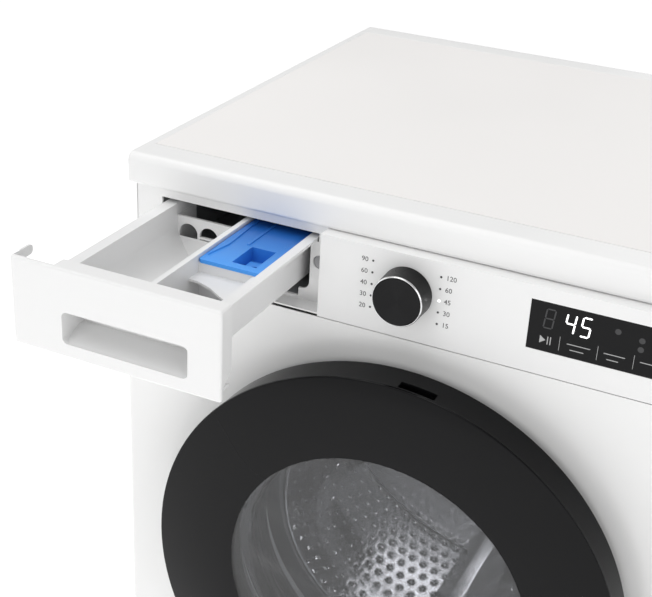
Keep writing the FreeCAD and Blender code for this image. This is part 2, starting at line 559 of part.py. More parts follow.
# Tub: two moulded halves clamped at a flange, with a sump, hose spouts and damper lugs.
def tub():
    outer = [("tub_neck_r - 6", "tub_neck"), ("tub_neck_r", "tub_neck"), ("tub_neck_r", "tub_front"),
             ("tub_r - 8", "tub_front"), ("tub_r", "tub_front + 8"), ("tub_r", "tub_seam - 8"),
             ("flange_r", "tub_seam - 8"), ("flange_r", "tub_seam")]
    inner = [("tub_r - tub_wall", "tub_seam"), ("tub_r - tub_wall", "tub_front + 10"),
             ("tub_r - 10", "tub_front + tub_wall"), ("tub_neck_r - 6", "tub_front + tub_wall")]
    spout = rod("z", (-185, -56, "axis_z + 180"), 16, 46)
    spout_bore = rod("z", (-185, -56, "axis_z + 160"), 13, 70)
    drain = rod("z", (-110, -60, 200), 20, 56)
    drain_bore = rod("z", (-110, -60, 190), 17, 70)
    room = rod("y", (0, "tub_front + tub_wall", "axis_z"), "tub_r - tub_wall", 200)
    added = carve(join(spout, drain), room)
    keep(carve(join(lathe(outer + inner), added), spout_bore, drain_bore), "tub_front")

    back_wall = [("tub_r - tub_wall", "tub_seam"), ("flange_r", "tub_seam"), ("flange_r", "tub_seam + 8"),
                 ("tub_r", "tub_seam + 8"), ("tub_r", "tub_back - 8"), ("tub_r - 8", "tub_back"),
                 (60, "tub_back"), (60, 200), (26, 200), (26, "bearing_back"), (22, "bearing_back"),
                 (22, 158), (31, 158), (31, "bearing_front"), (36, "bearing_front"),
                 (36, "seal_front"), (56, "seal_front"), (62, "tub_back - 5"),
                 ("tub_r - 10", "tub_back - 5"), ("tub_r - tub_wall", "tub_back - 11")]
    sump = block((-60, 30, "axis_z - tub_r - 20"), (60, 168, "axis_z - tub_r + 30"))
    sump_room = block((-56, 34, "axis_z - tub_r - 16"), (56, 164, "axis_z - tub_r + 60"))
    inside = rod("y", (0, "tub_seam", "axis_z"), "tub_r - tub_wall", "tub_back - 5 - tub_seam")
    heater_hole = rounded(block((-36, 150, "axis_z - tub_r - 12"), (36, 180, "axis_z - tub_r + 8")), "y", 8)
    eyes = []
    for side in (-1, 1):
        spot = f"{side} * spring_low_x"
        eyes.append(block((spot + " - 10", "spring_y - 3", "spring_low_z - 45"),
                          (spot + " + 10", "spring_y + 3", "spring_low_z + 6")))
    eye_holes = [rod("y", (f"{side} * spring_low_x", 0, "spring_low_z"), 3.4, 60) for side in (-1, 1)]
    eyes = carve(join(*eyes), inside, *eye_holes)
    lugs = [damper_lug(side) for side in (-1, 1)]
    shell = join(lathe(back_wall), carve(sump, inside), eyes, *lugs)
    keep(carve(shell, carve(sump_room, rod("y", (0, 160, "axis_z"), 400, 60)), heater_hole), "tub_rear")


# One of the two lugs under the tub that a damper's rod hangs from.
def damper_lug(side):
    head = f"{side} * damper_head_x"
    pieces = [block((head + " - 12", f"damper_y + {offset}", "damper_head_z - 10"),
                    (head + " + 12", f"damper_y + {offset + 4}", "damper_head_z + 40"))
              for offset in (-15, 11)]
    pieces.append(rod("y", (head, "damper_y - 14", "damper_head_z"), 4, 28))
    return carve(join(*pieces), rod("y", (0, "tub_seam", "axis_z"), "tub_r - 1", 180))


# What is bolted on the tub: two concrete counterweights, heater, bearings, shaft seal and stator.
def tub_fittings():
    sector = [(190, -252), (260, -252), (260, -223), (190, -223)]
    keep(lathe(sector, angle=124, turn=208), "counterweight_upper")
    keep(lathe(sector, angle=104, turn=38), "counterweight_lower")
    legs = [rod("y", (x, 44, "axis_z - tub_r - 3"), 4, 104) for x in (-24, 24)]
    bend = rod("x", (-28, 44, "axis_z - tub_r - 3"), 4, 56)
    plug = rounded(block((-36, 148, "axis_z - tub_r - 12"), (36, 186, "axis_z - tub_r + 6")), "y", 8)
    keep(join(bend, plug, *legs), "heater")
    bearings = []
    for radius, bore, start in ((31, "shaft_r + running", "bearing_front"),
                                (26, "shaft_end_r + running", "bearing_back + 0.5")):
        bearings.append(lathe([(bore, start), (f"({bore} + {radius}) / 2 - 3", start),
                               (f"({bore} + {radius}) / 2 - 3", start + " + 1"),
                               (f"({bore} + {radius}) / 2 + 3", start + " + 1"),
                               (f"({bore} + {radius}) / 2 + 3", start), (radius, start),
                               (radius, start + " + 15"), (bore, start + " + 15")]))
    keep(group(*bearings), "shaft_bearings")
    keep(lathe([("shaft_r + running", 133), (22, "seal_front"), (36, "seal_front"), (36, 141.8),
                ("shaft_r + 3", 141.8), ("shaft_r + 3", 136), ("shaft_r + running", 136)]), "shaft_seal")
    ring = lathe([(61, 174), (96, 174), (96, 198), (61, 198)])
    teeth = []
    for number in range(24):
        tooth = block((94, 177, -5), (117, 195, 5))
        holder = join(tooth, block((114, 177, -12), (118, 195, 12)))
        teeth.append(place(holder, (0, 0, "axis_z"), about_y(15 * number)))
    keep(join(ring, *teeth), "stator")
    keep(carve(rod("y", (0, -237, "axis_z"), 187, 6), rod("y", (0, -240, "axis_z"), 182.6, 12)),
         "gasket_clamp")


# Drum: a rolled steel basket on a cast spider and shaft, with lifters, driven by the rotor.
def drum():
    keep(lathe([("drum_mouth_r", -207), (156, "drum_front"), (170, "drum_front + 3"),
                ("drum_r - 11", -196), ("drum_r", -184), ("drum_r", 118),
                ("drum_r - drum_skin", 118), ("drum_r - drum_skin", -183.5),
                ("drum_r - 12", -194), (169.5, -205), (157, -208), ("drum_mouth_r + 1.5", -205.5)]),
         "drum_shell")
    edge = "drum_r - drum_skin"
    keep(lathe([(0, 96), (60, 96), (80, 104), (edge, 104), (edge, 116), (edge + " - 1.5", 116),
                (edge + " - 1.5", 105.5), (79.5, 105.5), (59.5, 97.5), (0, 97.5)]), "drum_back")
    hub = lathe([(0, 106), (52, 106), (40, 122), (30, 130), (0, 130)])
    arms = []
    for number in range(3):
        arm = block((20, 106, -16), (238, 120, 16))
        arms.append(place(group(arm), (0, 0, "axis_z"), about_y(120 * number + 30)))
    keep(join(hub, *arms), "drum_spider")
    keep(lathe([(0, 130), ("shaft_r", 130), ("shaft_r", 160), ("shaft_end_r", 162),
                ("shaft_end_r", 214), (0, 214)]), "drum_shaft")
    lifters = []
    for number in range(3):
        prism = extrude("y", [("drum_r", -44), ("drum_r", 44), ("drum_r - 18", 30),
                              ("drum_r - 44", 16), ("drum_r - 50", 8), ("drum_r - 50", -8),
                              ("drum_r - 44", -16), ("drum_r - 18", -30)], -172, 262)
        hollow = extrude("y", [("drum_r + 9", -40), ("drum_r + 9", 40), ("drum_r - 17", 26.5),
                               ("drum_r - 42", 13), ("drum_r - 46", 7), ("drum_r - 46", -7),
                               ("drum_r - 42", -13), ("drum_r - 17", -26.5)], -168, 254)
        room = rod("y", (0, -180, 0), "drum_r - drum_skin - 0.2", 300)
        one = doc.addObject("Part::Common", "lifter")
        one.Base, one.Tool = carve(prism, hollow), room
        lifters.append(place(one, (0, 0, "axis_z"), about_y(120 * number - 30)))
    keep(group(*lifters), "drum_lifters")
    keep(lathe([("shaft_end_r", 202), (26, 202), (30, 206), (119.5, 206), (119.5, 176),
                (126, 176), (126, 206), (122, 210), (26, 210), ("shaft_end_r", 210)]), "motor_rotor")


# Suspension: two springs above the tub and two friction dampers below it.
def suspension():
    springs = []
    low, high = DIMENSIONS["spring_low_x"], DIMENSIONS["spring_high_x"]
    rise = DIMENSIONS["spring_high_z"] - DIMENSIONS["spring_low_z"]
    span = math.hypot(high - low, rise)
    lean = math.degrees(math.atan2(high - low, rise))
    for side in (-1, 1):
        coil = carve(rod("z", (0, 0, 18), "spring_r", span - 36),
                     rod("z", (0, 0, 10), "spring_r - spring_wire", span))
        ends = [rod("z", (0, 0, start), 1.5, length) for start, length in ((9, 12), (span - 22, 18))]
        plugs = [rod("z", (0, 0, start), "spring_r - 1", 3) for start in (18, span - 21)]
        springs.append(tilted(join(coil, *ends, *plugs),
                              (f"{side} * spring_low_x", "spring_y", "spring_low_z"), side * lean))
    keep(group(*springs), "suspension_springs")
    foot = Vector(DIMENSIONS["damper_foot_x"], 0, DIMENSIONS["damper_foot_z"])
    head = Vector(DIMENSIONS["damper_head_x"], 0, DIMENSIONS["damper_head_z"])
    reach = (head - foot).Length
    lean = math.degrees(math.atan2(foot.x - head.x, head.z - foot.z))
    for side, word in ((-1, "left"), (1, "right")):
        eye = rod("y", (0, -10, 0), 10, 20)
        tube = join(rod("z", (0, 0, 7), "damper_r", 112), eye)
        cylinder = carve(tube, rod("z", (0, 0, 16), "piston_r + piston_gap", 120),
                         rod("y", (0, -20, 0), 4.3, 40))
        keep(tilted(cylinder, (f"{side} * damper_foot_x", "damper_y", "damper_foot_z"), -side * lean),
             f"damper_cylinder_{word}")
        stem = join(rod("z", (0, 0, reach - 100), 6, 96), rod("z", (0, 0, reach - 138), "piston_r", 40),
                    rod("y", (0, -10, reach), 9, 20))
        bored = carve(stem, rod("y", (0, -20, reach), 4.3, 40))
        keep(tilted(bored, (f"{side} * damper_foot_x", "damper_y", "damper_foot_z"), -side * lean),
             f"damper_rod_{word}")


# Water: inlet valve and hoses, drain pump with its filter, and the drain spout.
def water_parts():
    valve = rounded(block((148, 222, 742), (196, 268, 788)), "z", 4)
    thread = rod("y", (170, 260, 765), 13.2, 25)
    thread_bore = rod("y", (170, 262, 765), 9, 30)
    solenoid = rod("z", (183, 240, 720), 11, 30)
    outlet = rod("x", (136, 236, 778), 6.5, 14)
    keep(carve(join(valve, thread, solenoid, outlet), thread_bore), "water_valve")
    across = rod("x", (-157, 236, 778), 6.5, 293)
    elbow = doc.addObject("Part::Torus", "elbow")
    elbow.Radius1, elbow.Radius2, elbow.Angle3 = 28, 6.5, 90
    place(elbow, (-157, 208, 778), FreeCAD.Rotation(Vector(0, 0, 1), 90))
    forward = rod("y", (-185, -13.8, 778), 6.5, 221.8)
    keep(join(across, elbow, forward), "valve_hose")
    keep(hose((-185, -56), 694, 740, 16.4, 20.5), "dispenser_hose")
    keep(hose((-110, -60), 126, 226, 20.4, 25), "sump_hose")
    chamber = rod("y", ("filter_x", -262, "filter_z"), 34.5, 222)
    motor = rod("x", ("filter_x + 20", -130, "filter_z"), 26, 80)
    elbow_box = block((-200, -84, 74), (-86, -38, 110))
    stub = rod("z", (-110, -60, 104), 19.8, 30)
    stand = block(("filter_x - 24", -150, 22), ("filter_x + 24", -90, 80))
    filter_room = rod("y", ("filter_x", -270, "filter_z"), 28.5, 190)
    stub_bore = rod("z", (-110, -60, 90), 16, 60)
    inside = block((-190, -76, 80), (-98, -46, 104))
    keep(carve(join(chamber, motor, elbow_box, stub, stand), filter_room, stub_bore, inside), "drain_pump")
    body = rod("y", ("filter_x", -264, "filter_z"), 27.6, 98)
    cap = rod("y", ("filter_x", -270, "filter_z"), "filter_r", 7.6)
    bar = rounded(block(("filter_x - 25", -279, "filter_z - 5"), ("filter_x + 25", -268, "filter_z + 5")), "y", 4)
    windows = [block(("filter_x - 40", start, "filter_z - 40"), ("filter_x + 40", start + 14, "filter_z - 8"))
               for start in (-236, -212, -188)]
    keep(carve(join(body, cap, bar), rod("y", ("filter_x", -240, "filter_z"), 24.5, 100), *windows),
         "drain_filter")
    spout = rod("y", (-245, 250, 720), 12, 35)
    collar = rod("y", (-245, 262, 720), 17, 7.6)
    shoulder = rod("y", (-245, 262, 720), 12.4, 9.2)
    keep(carve(join(spout, collar, shoulder), rod("y", (-245, 240, 720), 9.5, 60)), "drain_spout")


# A short corrugated rubber sleeve between two upright spouts.
def hose(spot, low, high, bore, radius):
    sleeve = rod("z", (*spot, low), radius - 1.8, high - low)
    ribs = [rod("z", (*spot, low + (high - low) * (0.26 + 0.12 * number)), radius, 4)
            for number in range(5)]
    return carve(join(sleeve, *ribs), rod("z", (*spot, low - 5), bore, high - low + 10))


# Service flap: a small door low on the front, over the drain filter; it drops on two pivots.
def filter_flap():
    plate = rounded(block(("flap_left", "front", "flap_low"), ("flap_right", "front + 2.5", "flap_high")),
                    "y", 4)
    plate = rounded(plate, "x", 1.8, lambda middle: middle.y < -284.9 and middle.z < 60)
    pull = block(("filter_x - 16", "front - 1", "flap_high - 5"), ("filter_x + 16", "front + 1.6", "flap_high + 1"))
    pivots = [rod("x", (f"flap_left - flap_gap + {start}", "front + 3.5", "flap_low + 2.5"), 2, 14)
              for start in (-4, 94)]
    ribs = [block((x, "front + 2", "flap_low + 1"), (x + 5, "front + 4.5", "flap_low + 10"))
            for x in (-266, -175)]
    keep(join(carve(plate, pull), *pivots, *ribs), "filter_flap")


# Feet: four rubber pads on threaded stems, each held by a nut under the base.
def feet():
    pads = []
    nuts = []
    for x in (-1, 1):
        for y in (-1, 1):
            spot = (f"{x} * foot_x", f"{y} * foot_y")
            pad = cone("z", (*spot, 0), "foot_r", "foot_r - 3", "foot_pad")
            pads.append(join(pad, rod("z", (*spot, 10), "stem_r", 38)))
            nut = extrude("z", [(9.2 * math.cos(math.radians(60 * i)), 9.2 * math.sin(math.radians(60 * i)))
                                for i in range(6)], 0, 6)
            place(nut, (*spot, 13.3))
            nuts.append(carve(nut, rod("z", (*spot, 10), "stem_r", 20)))
    keep(group(*pads, *nuts), "levelling_feet")


# Power electronics, the cable gland and the four caps over the transit bolt holes.
def back_fittings():
    case = rounded(block((130, 60, 766), (285, 214, 812)), "z", 6)
    fins = [block((x, 70, 810), (x + 3, 204, 816)) for x in range(150, 270, 12)]
    keep(join(case, *fins), "control_box")
    gland = join(rod("y", (240, 262, 700), 7.8, 14), rod("y", (240, 271, 700), 12, 4),
                 rod("y", (240, 262, 700), 12, 7.6))
    keep(carve(gland, rod("y", (240, 250, 700), 4, 60)), "cable_gland")
    caps = [join(rod("y", (x, 264, z), 10.6, 9), rod("y", (x, 271, z), 17, 3))
            for x in (-235, 235) for z in (250, 620)]
    keep(group(*caps), "transit_bolt_caps")


for build_group in (cabinet_shell, rear_cover, front_panel, base_frame, top_brace, worktop,
                    control_fascia, controls, program_knob, dispenser_housing, drawer_front,
                    drawer_tray, siphon_cap, door, door_fittings, tub, tub_fittings, drum, suspension,
                    water_parts, filter_flap, feet, back_fittings):
    build_group()


def write_parts():
    """Check every object of the document, then write one STEP file for each sub-part."""
    doc.recompute()
    for item in doc.Objects:
        if "Invalid" in item.State or "Error" in item.State:
            raise RuntimeError(f"{item.Label} failed: {item.State}")
    os.makedirs("parts", exist_ok=True)
    for item in sub_parts:
        if item.Shape.isNull() or not item.Shape.isValid():
            raise RuntimeError(f"{item.Label} has no valid shape")
        item.Shape.exportStep(f"parts/{item.Label}.step")
        box = item.Shape.BoundBox
        print(f"{item.Label:24s} solids {len(item.Shape.Solids):3d}  volume {item.Shape.Volume / 1e3:10.1f} cm3"
              f"  X {box.XMin:7.1f} {box.XMax:7.1f}  Y {box.YMin:7.1f} {box.YMax:7.1f}"
              f"  Z {box.ZMin:6.1f} {box.ZMax:6.1f}")


write_parts()
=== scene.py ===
"""Front load washing machine: the looks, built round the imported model, in metres."""
import math

import bmesh
import bpy
from mathutils import Matrix, Vector


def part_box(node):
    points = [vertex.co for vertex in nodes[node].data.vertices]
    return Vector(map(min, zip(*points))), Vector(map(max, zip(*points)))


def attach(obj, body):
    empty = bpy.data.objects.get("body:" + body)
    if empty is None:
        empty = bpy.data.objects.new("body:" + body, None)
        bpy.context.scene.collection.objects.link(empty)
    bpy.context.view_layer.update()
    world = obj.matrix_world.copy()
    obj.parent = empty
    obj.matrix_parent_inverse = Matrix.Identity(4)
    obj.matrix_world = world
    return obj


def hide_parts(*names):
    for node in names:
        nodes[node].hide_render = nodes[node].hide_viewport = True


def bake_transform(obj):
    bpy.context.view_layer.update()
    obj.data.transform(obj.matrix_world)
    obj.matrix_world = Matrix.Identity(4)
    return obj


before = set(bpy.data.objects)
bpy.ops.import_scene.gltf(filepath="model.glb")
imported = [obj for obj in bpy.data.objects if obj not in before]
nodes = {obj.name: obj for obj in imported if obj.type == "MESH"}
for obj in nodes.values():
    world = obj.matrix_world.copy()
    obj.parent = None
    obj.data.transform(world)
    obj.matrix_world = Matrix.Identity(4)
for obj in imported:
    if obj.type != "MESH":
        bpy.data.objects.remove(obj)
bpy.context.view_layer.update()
MM = 0.001

# Studio: a pale floor, a white room and large soft lamps.
# The camera stands to the right of the machine and above it, looking down on the open drawer.
EYE = Vector((0.3358, -1.2148, 1.2672))
HEADING, TILT, LEAN = math.radians(24.28), math.radians(26.50), math.radians(-3.10)
LENS = 70.42

floor_mesh = bpy.data.meshes.new("studio_floor")
floor_mesh.from_pydata([(-6, -6, 0), (6, -6, 0), (6, 6, 0), (-6, 6, 0)], [], [(0, 1, 2, 3)])
floor = bpy.data.objects.new("studio_floor", floor_mesh)
bpy.context.scene.collection.objects.link(floor)
paper = bpy.data.materials.new("studio_paper")
paper.use_nodes = True
paper_shader = paper.node_tree.nodes["Principled BSDF"]
paper_shader.inputs["Base Color"].default_value = (0.9, 0.9, 0.9, 1)
paper_shader.inputs["Roughness"].default_value = 0.9
paper_shader.inputs["Emission Color"].default_value = (1, 1, 1, 1)
paper_shader.inputs["Emission Strength"].default_value = 0.6
floor_mesh.materials.append(paper)

room = bpy.data.worlds.new("studio_room")
room.use_nodes = True
room.node_tree.nodes["Background"].inputs["Color"].default_value = (1.0, 1.0, 1.0, 1)
room.node_tree.nodes["Background"].inputs["Strength"].default_value = 0.42
bpy.context.scene.world = room
bpy.context.scene.view_settings.view_transform = "Standard"


def lamp(name, spot, aim, size, power):
    """A rectangular soft lamp that points at a spot."""
    light = bpy.data.lights.new(name, "AREA")
    light.shape = "RECTANGLE"
    light.size, light.size_y = size
    light.energy = power
    stand = bpy.data.objects.new(name, light)
    stand.location = spot
    stand.rotation_euler = (Vector(aim) - Vector(spot)).to_track_quat("-Z", "Y").to_euler()
    bpy.context.scene.collection.objects.link(stand)


lamp("lamp_above", (-0.5, -0.3, 2.9), (0, 0, 0.8), (2.6, 2.2), 30)
lamp("lamp_front", (-0.9, -3.0, 1.8), (0, -0.2, 0.6), (2.4, 1.6), 18)
lamp("lamp_left", (-2.6, -0.8, 1.5), (0, -0.2, 0.6), (1.4, 1.8), 7)
lamp("lamp_right", (2.3, -1.7, 1.5), (0, -0.3, 0.7), (1.4, 1.6), 11)
lamp("lamp_behind", (0.6, 2.6, 2.2), (0, 0, 0.6), (2.4, 1.8), 12)
lamp("lamp_drum", (0.0, -0.19, 0.60), (0.02, 0.04, 0.30), (0.20, 0.04), 0.30)

forward = Vector((-math.sin(HEADING) * math.cos(TILT), math.cos(HEADING) * math.cos(TILT),
                  -math.sin(TILT)))
right = Vector((math.cos(HEADING), math.sin(HEADING), 0))
down = forward.cross(right)
across = math.cos(LEAN) * right + math.sin(LEAN) * down
below = math.cos(LEAN) * down - math.sin(LEAN) * right
lens = bpy.data.cameras.new("camera")
lens.lens = LENS
lens.sensor_width = 36
camera = bpy.data.objects.new("camera", lens)
camera.matrix_world = Matrix.Translation(EYE) @ Matrix((across, -below, -forward)).transposed().to_4x4()
bpy.context.scene.collection.objects.link(camera)
bpy.context.scene.camera = camera


# Cabinet sheet metal: folded steel in smooth white enamel, with the front pressed in round the door.
# The enamel has a faint orange peel and the colour is very slightly warm.
def finish(name, colour, roughness, metallic=0.0, mottle=0.02, mottle_size=0.05, grain=0.004 * MM,
           grain_size=0.9 * MM, **sockets):
    """A finish with a slightly uneven colour and sheen and a fine surface grain."""
    made = bpy.data.materials.new(name)
    made.use_nodes = True
    tree = made.node_tree
    shader = tree.nodes["Principled BSDF"]
    shader.inputs["Metallic"].default_value = metallic
    for socket, value in sockets.items():
        shader.inputs[socket.replace("_", " ")].default_value = value
    place = tree.nodes.new("ShaderNodeTexCoord").outputs["Object"]
    cloud = tree.nodes.new("ShaderNodeTexNoise")
    cloud.inputs["Scale"].default_value = 1 / mottle_size
    cloud.inputs["Detail"].default_value = 3
    tree.links.new(place, cloud.inputs["Vector"])
    tint = tree.nodes.new("ShaderNodeMix")
    tint.data_type = "RGBA"
    tint.inputs["A"].default_value = (*[part * (1 - mottle) for part in colour], 1)
    tint.inputs["B"].default_value = (*[min(1.0, part * (1 + mottle)) for part in colour], 1)
    tree.links.new(cloud.outputs["Fac"], tint.inputs["Factor"])
    tree.links.new(tint.outputs["Result"], shader.inputs["Base Color"])
    sheen = tree.nodes.new("ShaderNodeMapRange")
    sheen.inputs["From Min"].default_value, sheen.inputs["From Max"].default_value = 0.3, 0.7
    sheen.inputs["To Min"].default_value = roughness * 0.9
    sheen.inputs["To Max"].default_value = roughness * 1.1
    tree.links.new(cloud.outputs["Fac"], sheen.inputs["Value"])
    tree.links.new(sheen.outputs["Result"], shader.inputs["Roughness"])
    if grain:
        peel = tree.nodes.new("ShaderNodeTexNoise")
        peel.inputs["Scale"].default_value = 1 / grain_size
        peel.inputs["Detail"].default_value = 2
        tree.links.new(place, peel.inputs["Vector"])
        bump = tree.nodes.new("ShaderNodeBump")
        bump.inputs["Distance"].default_value = grain
        tree.links.new(peel.outputs["Fac"], bump.inputs["Height"])
        tree.links.new(bump.outputs["Normal"], shader.inputs["Normal"])
    return made


def coat(material, *names):
    """Give CAD nodes a finish."""
    for name in names:
        nodes[name].data.materials.clear()
        nodes[name].data.materials.append(material)


enamel = finish("white_enamel", (0.84, 0.84, 0.835), 0.30, mottle=0.006, mottle_size=0.3,
                grain=0.003 * MM, grain_size=1.6 * MM)
coat(enamel, "cabinet_shell", "rear_cover")


# Back screws: pan head screws with a cross recess that hold the cover and the folded steel.
# They are plated steel, sit flat on the sheet and are spread evenly along its edges.
def settle(piece, body, slot, *replaced):
    """Let a finished piece ride on its body and stand for CAD nodes; a piece that bends has no body."""
    if body:
        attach(piece, body)
    if replaced:
        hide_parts(*replaced)
    return piece


def object_from(name, mesh, material, smooth=30):
    """An object with a finish, shaded smooth up to an angle."""
    mesh.name = name
    mesh.materials.clear()
    mesh.materials.append(material)
    if smooth is not None:
        mesh.shade_smooth()
        mesh.set_sharp_from_angle(angle=math.radians(smooth))
    piece = bpy.data.objects.new(name, mesh)
    bpy.context.scene.collection.objects.link(piece)
    return piece


def mesh_from(work):
    """A plain mesh from finished mesh work, its faces turned outwards."""
    bmesh.ops.recalc_face_normals(work, faces=work.faces)
    mesh = bpy.data.meshes.new("work")
    work.to_mesh(mesh)
    work.free()
    return mesh


def turned(outline, centre, steps, axis="y"):
    """A closed ring or disc turned about a line: its outline is in (radius, height), in millimetres."""
    work = bmesh.new()
    rows = []
    for step in range(steps):
        angle = math.tau * step / steps
        row = []
        for radius, height in outline:
            side, up = radius * math.cos(angle), radius * math.sin(angle)
            spot = (side, height, up) if axis == "y" else (side, up, height)
            row.append(work.verts.new((Vector(spot) + Vector(centre)) * MM))
        rows.append(row)
    count = len(outline)
    for step in range(steps):
        here, there = rows[step], rows[(step + 1) % steps]
        for i in range(count):
            k = (i + 1) % count
            if max(outline[i][0], outline[k][0]) > 0.001:
                work.faces.new((here[i], here[k], there[k], there[i]))
    bmesh.ops.remove_doubles(work, verts=work.verts, dist=1e-6)
    bmesh.ops.dissolve_degenerate(work, edges=work.edges, dist=1e-7)
    return mesh_from(work)


def plant(name, part, spots, turns, material):
    """Copies of a small part set on spots by Geometry Nodes, made one plain mesh."""
    seat_mesh = bpy.data.meshes.new(name + "_spots")
    seat_mesh.from_pydata([Vector(spot) * MM for spot in spots], [], [])
    turn = seat_mesh.attributes.new("turn", "FLOAT_VECTOR", "POINT")
    turn.data.foreach_set("vector", [value for angles in turns for value in angles])
    seat = bpy.data.objects.new(name + "_spots", seat_mesh)
    bpy.context.scene.collection.objects.link(seat)
    tree = bpy.data.node_groups.new(name + "_plan", "GeometryNodeTree")
    tree.interface.new_socket("Geometry", in_out="INPUT", socket_type="NodeSocketGeometry")
    tree.interface.new_socket("Geometry", in_out="OUTPUT", socket_type="NodeSocketGeometry")
    part_socket = tree.interface.new_socket("Part", in_out="INPUT", socket_type="NodeSocketObject")
    finish_socket = tree.interface.new_socket("Finish", in_out="INPUT", socket_type="NodeSocketMaterial")
    given = tree.nodes.new("NodeGroupInput")
    result = tree.nodes.new("NodeGroupOutput")
    look = tree.nodes.new("GeometryNodeObjectInfo")
    angles = tree.nodes.new("GeometryNodeInputNamedAttribute")
    angles.data_type = "FLOAT_VECTOR"
    angles.inputs["Name"].default_value = "turn"
    copy = tree.nodes.new("GeometryNodeInstanceOnPoints")
    real = tree.nodes.new("GeometryNodeRealizeInstances")
    paint = tree.nodes.new("GeometryNodeSetMaterial")
    tree.links.new(given.outputs["Part"], look.inputs["Object"])
    tree.links.new(given.outputs["Geometry"], copy.inputs["Points"])
    tree.links.new(look.outputs["Geometry"], copy.inputs["Instance"])
    tree.links.new(angles.outputs["Attribute"], copy.inputs["Rotation"])
    tree.links.new(copy.outputs["Instances"], real.inputs["Geometry"])
    tree.links.new(real.outputs["Geometry"], paint.inputs["Geometry"])
    tree.links.new(given.outputs["Finish"], paint.inputs["Material"])
    tree.links.new(paint.outputs["Geometry"], result.inputs["Geometry"])
    grow = seat.modifiers.new("grow", "NODES")
    grow.node_group = tree
    pattern = bpy.data.objects.new(name + "_part", part)
    bpy.context.scene.collection.objects.link(pattern)
    grow[part_socket.identifier] = pattern
    grow[finish_socket.identifier] = material
    return harvest(name, seat, material, pattern)


def harvest(name, seat, material, *spent, smooth=30):
    """The plain mesh of an evaluated object, with the objects that made it cleared away."""
    bpy.context.view_layer.update()
    depsgraph = bpy.context.evaluated_depsgraph_get()
    mesh = bpy.data.meshes.new_from_object(seat.evaluated_get(depsgraph))
    for old in (seat, *spent):
        bpy.data.objects.remove(old)
    return object_from(name, mesh, material, smooth)


def screw_head(radius):
    """A pan head with a cross recess, its flat underside on the XZ plane, facing +Y."""
    work = bmesh.new()
    rings = []
    for share, height in ((1.0, 0.0), (1.0, 0.35), (0.86, 0.72), (0.55, 0.92)):
        ring = []
        for step in range(16):
            angle = math.tau * step / 16
            ring.append(work.verts.new((share * radius * math.cos(angle), height * radius * 0.62,
                                        share * radius * math.sin(angle))))
        rings.append(ring)
    recess = []
    for step in range(16):
        angle = math.tau * step / 16
        reach = 0.5 if step % 4 == 0 else 0.16 if step % 4 == 2 else 0.3
        recess.append(work.verts.new((reach * radius * math.cos(angle), 0.25 * radius,
                                      reach * radius * math.sin(angle))))
    rings.append(recess)
    for low_ring, high_ring in zip(rings, rings[1:]):
        for step in range(16):
            after = (step + 1) % 16
            work.faces.new((low_ring[step], low_ring[after], high_ring[after], high_ring[step]))
    work.faces.new(rings[0])
    work.faces.new(recess)
    return mesh_from(work)


plated = finish("plated_steel", (0.62, 0.62, 0.63), 0.3, 1.0, mottle=0.05, mottle_size=0.01)
shell_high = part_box("cabinet_shell")[1]
cover_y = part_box("rear_cover")[0][1] / MM + 1.2
back_y = shell_high[1] / MM
cover_spots = [(x, cover_y, z) for x in (-183, 183) for z in (262, 348, 434, 520, 606)]
cover_spots += [(x, cover_y, z) for x in (-110, 0, 110) for z in (186, 684)]
shell_spots = [(x, back_y, z) for x in (-284, 284) for z in (60, 250, 440, 630, 800)]
screw_mesh = screw_head(4.2 * MM)
screws = plant("back_screws", screw_mesh, cover_spots + shell_spots,
               [(0, 0, 0)] * (len(cover_spots) + len(shell_spots)), plated)
settle(screws, "cabinet", "zinc_steel")

# Base pan and brace: bare galvanised steel with its crystal spangle.
zinc_coat = finish("galvanised_steel", (0.62, 0.63, 0.64), 0.42, 0.85, mottle=0.14, mottle_size=0.012)
coat(zinc_coat, "base_frame", "top_brace")


# Front sheet: the pressed steel front with its dished ring round the door, in the cabinet's enamel.
# Its folded edges are barely round, as thin sheet is.
def softened(name, source, width, material, body, slot, segments=2):
    """A CAD node with its sharp edges worn round, in place of the node."""
    work = bmesh.new()
    work.from_mesh(nodes[source].data)
    bmesh.ops.remove_doubles(work, verts=work.verts, dist=1e-6)
    bmesh.ops.dissolve_limit(work, angle_limit=math.radians(0.4), verts=work.verts, edges=work.edges)
    mesh = bpy.data.meshes.new(name)
    work.to_mesh(mesh)
    work.free()
    mesh.shade_smooth()
    mesh.set_sharp_from_angle(angle=math.radians(30))
    seat = bpy.data.objects.new(name + "_work", mesh)
    bpy.context.scene.collection.objects.link(seat)
    edge = seat.modifiers.new("edge", "BEVEL")
    edge.width = width * MM
    edge.segments = segments
    edge.limit_method = "ANGLE"
    edge.angle_limit = math.radians(35)
    edge.use_clamp_overlap = True
    evened = seat.modifiers.new("evened", "WEIGHTED_NORMAL")
    evened.keep_sharp = False
    return settle(harvest(name, seat, material, smooth=None), body, slot, source)


softened("front_sheet", "front_panel", 0.25, enamel, "cabinet", "white_enamel")

# Worktop: a white moulded rim with a rounded front edge, round a warm white laminated board.
# The board lies a hair below the rim, which shows as a fine line.
rim_white = finish("worktop_white", (0.86, 0.86, 0.857), 0.32, mottle=0.006, grain=0.004 * MM)
laminate = finish("worktop_laminate", (0.87, 0.853, 0.84), 0.5, mottle=0.006, mottle_size=0.2,
                  grain=0.012 * MM, grain_size=0.5 * MM)
softened("worktop_edge", "worktop_rim", 1.2, rim_white, "cabinet", "white_plastic")
coat(laminate, "worktop_board")

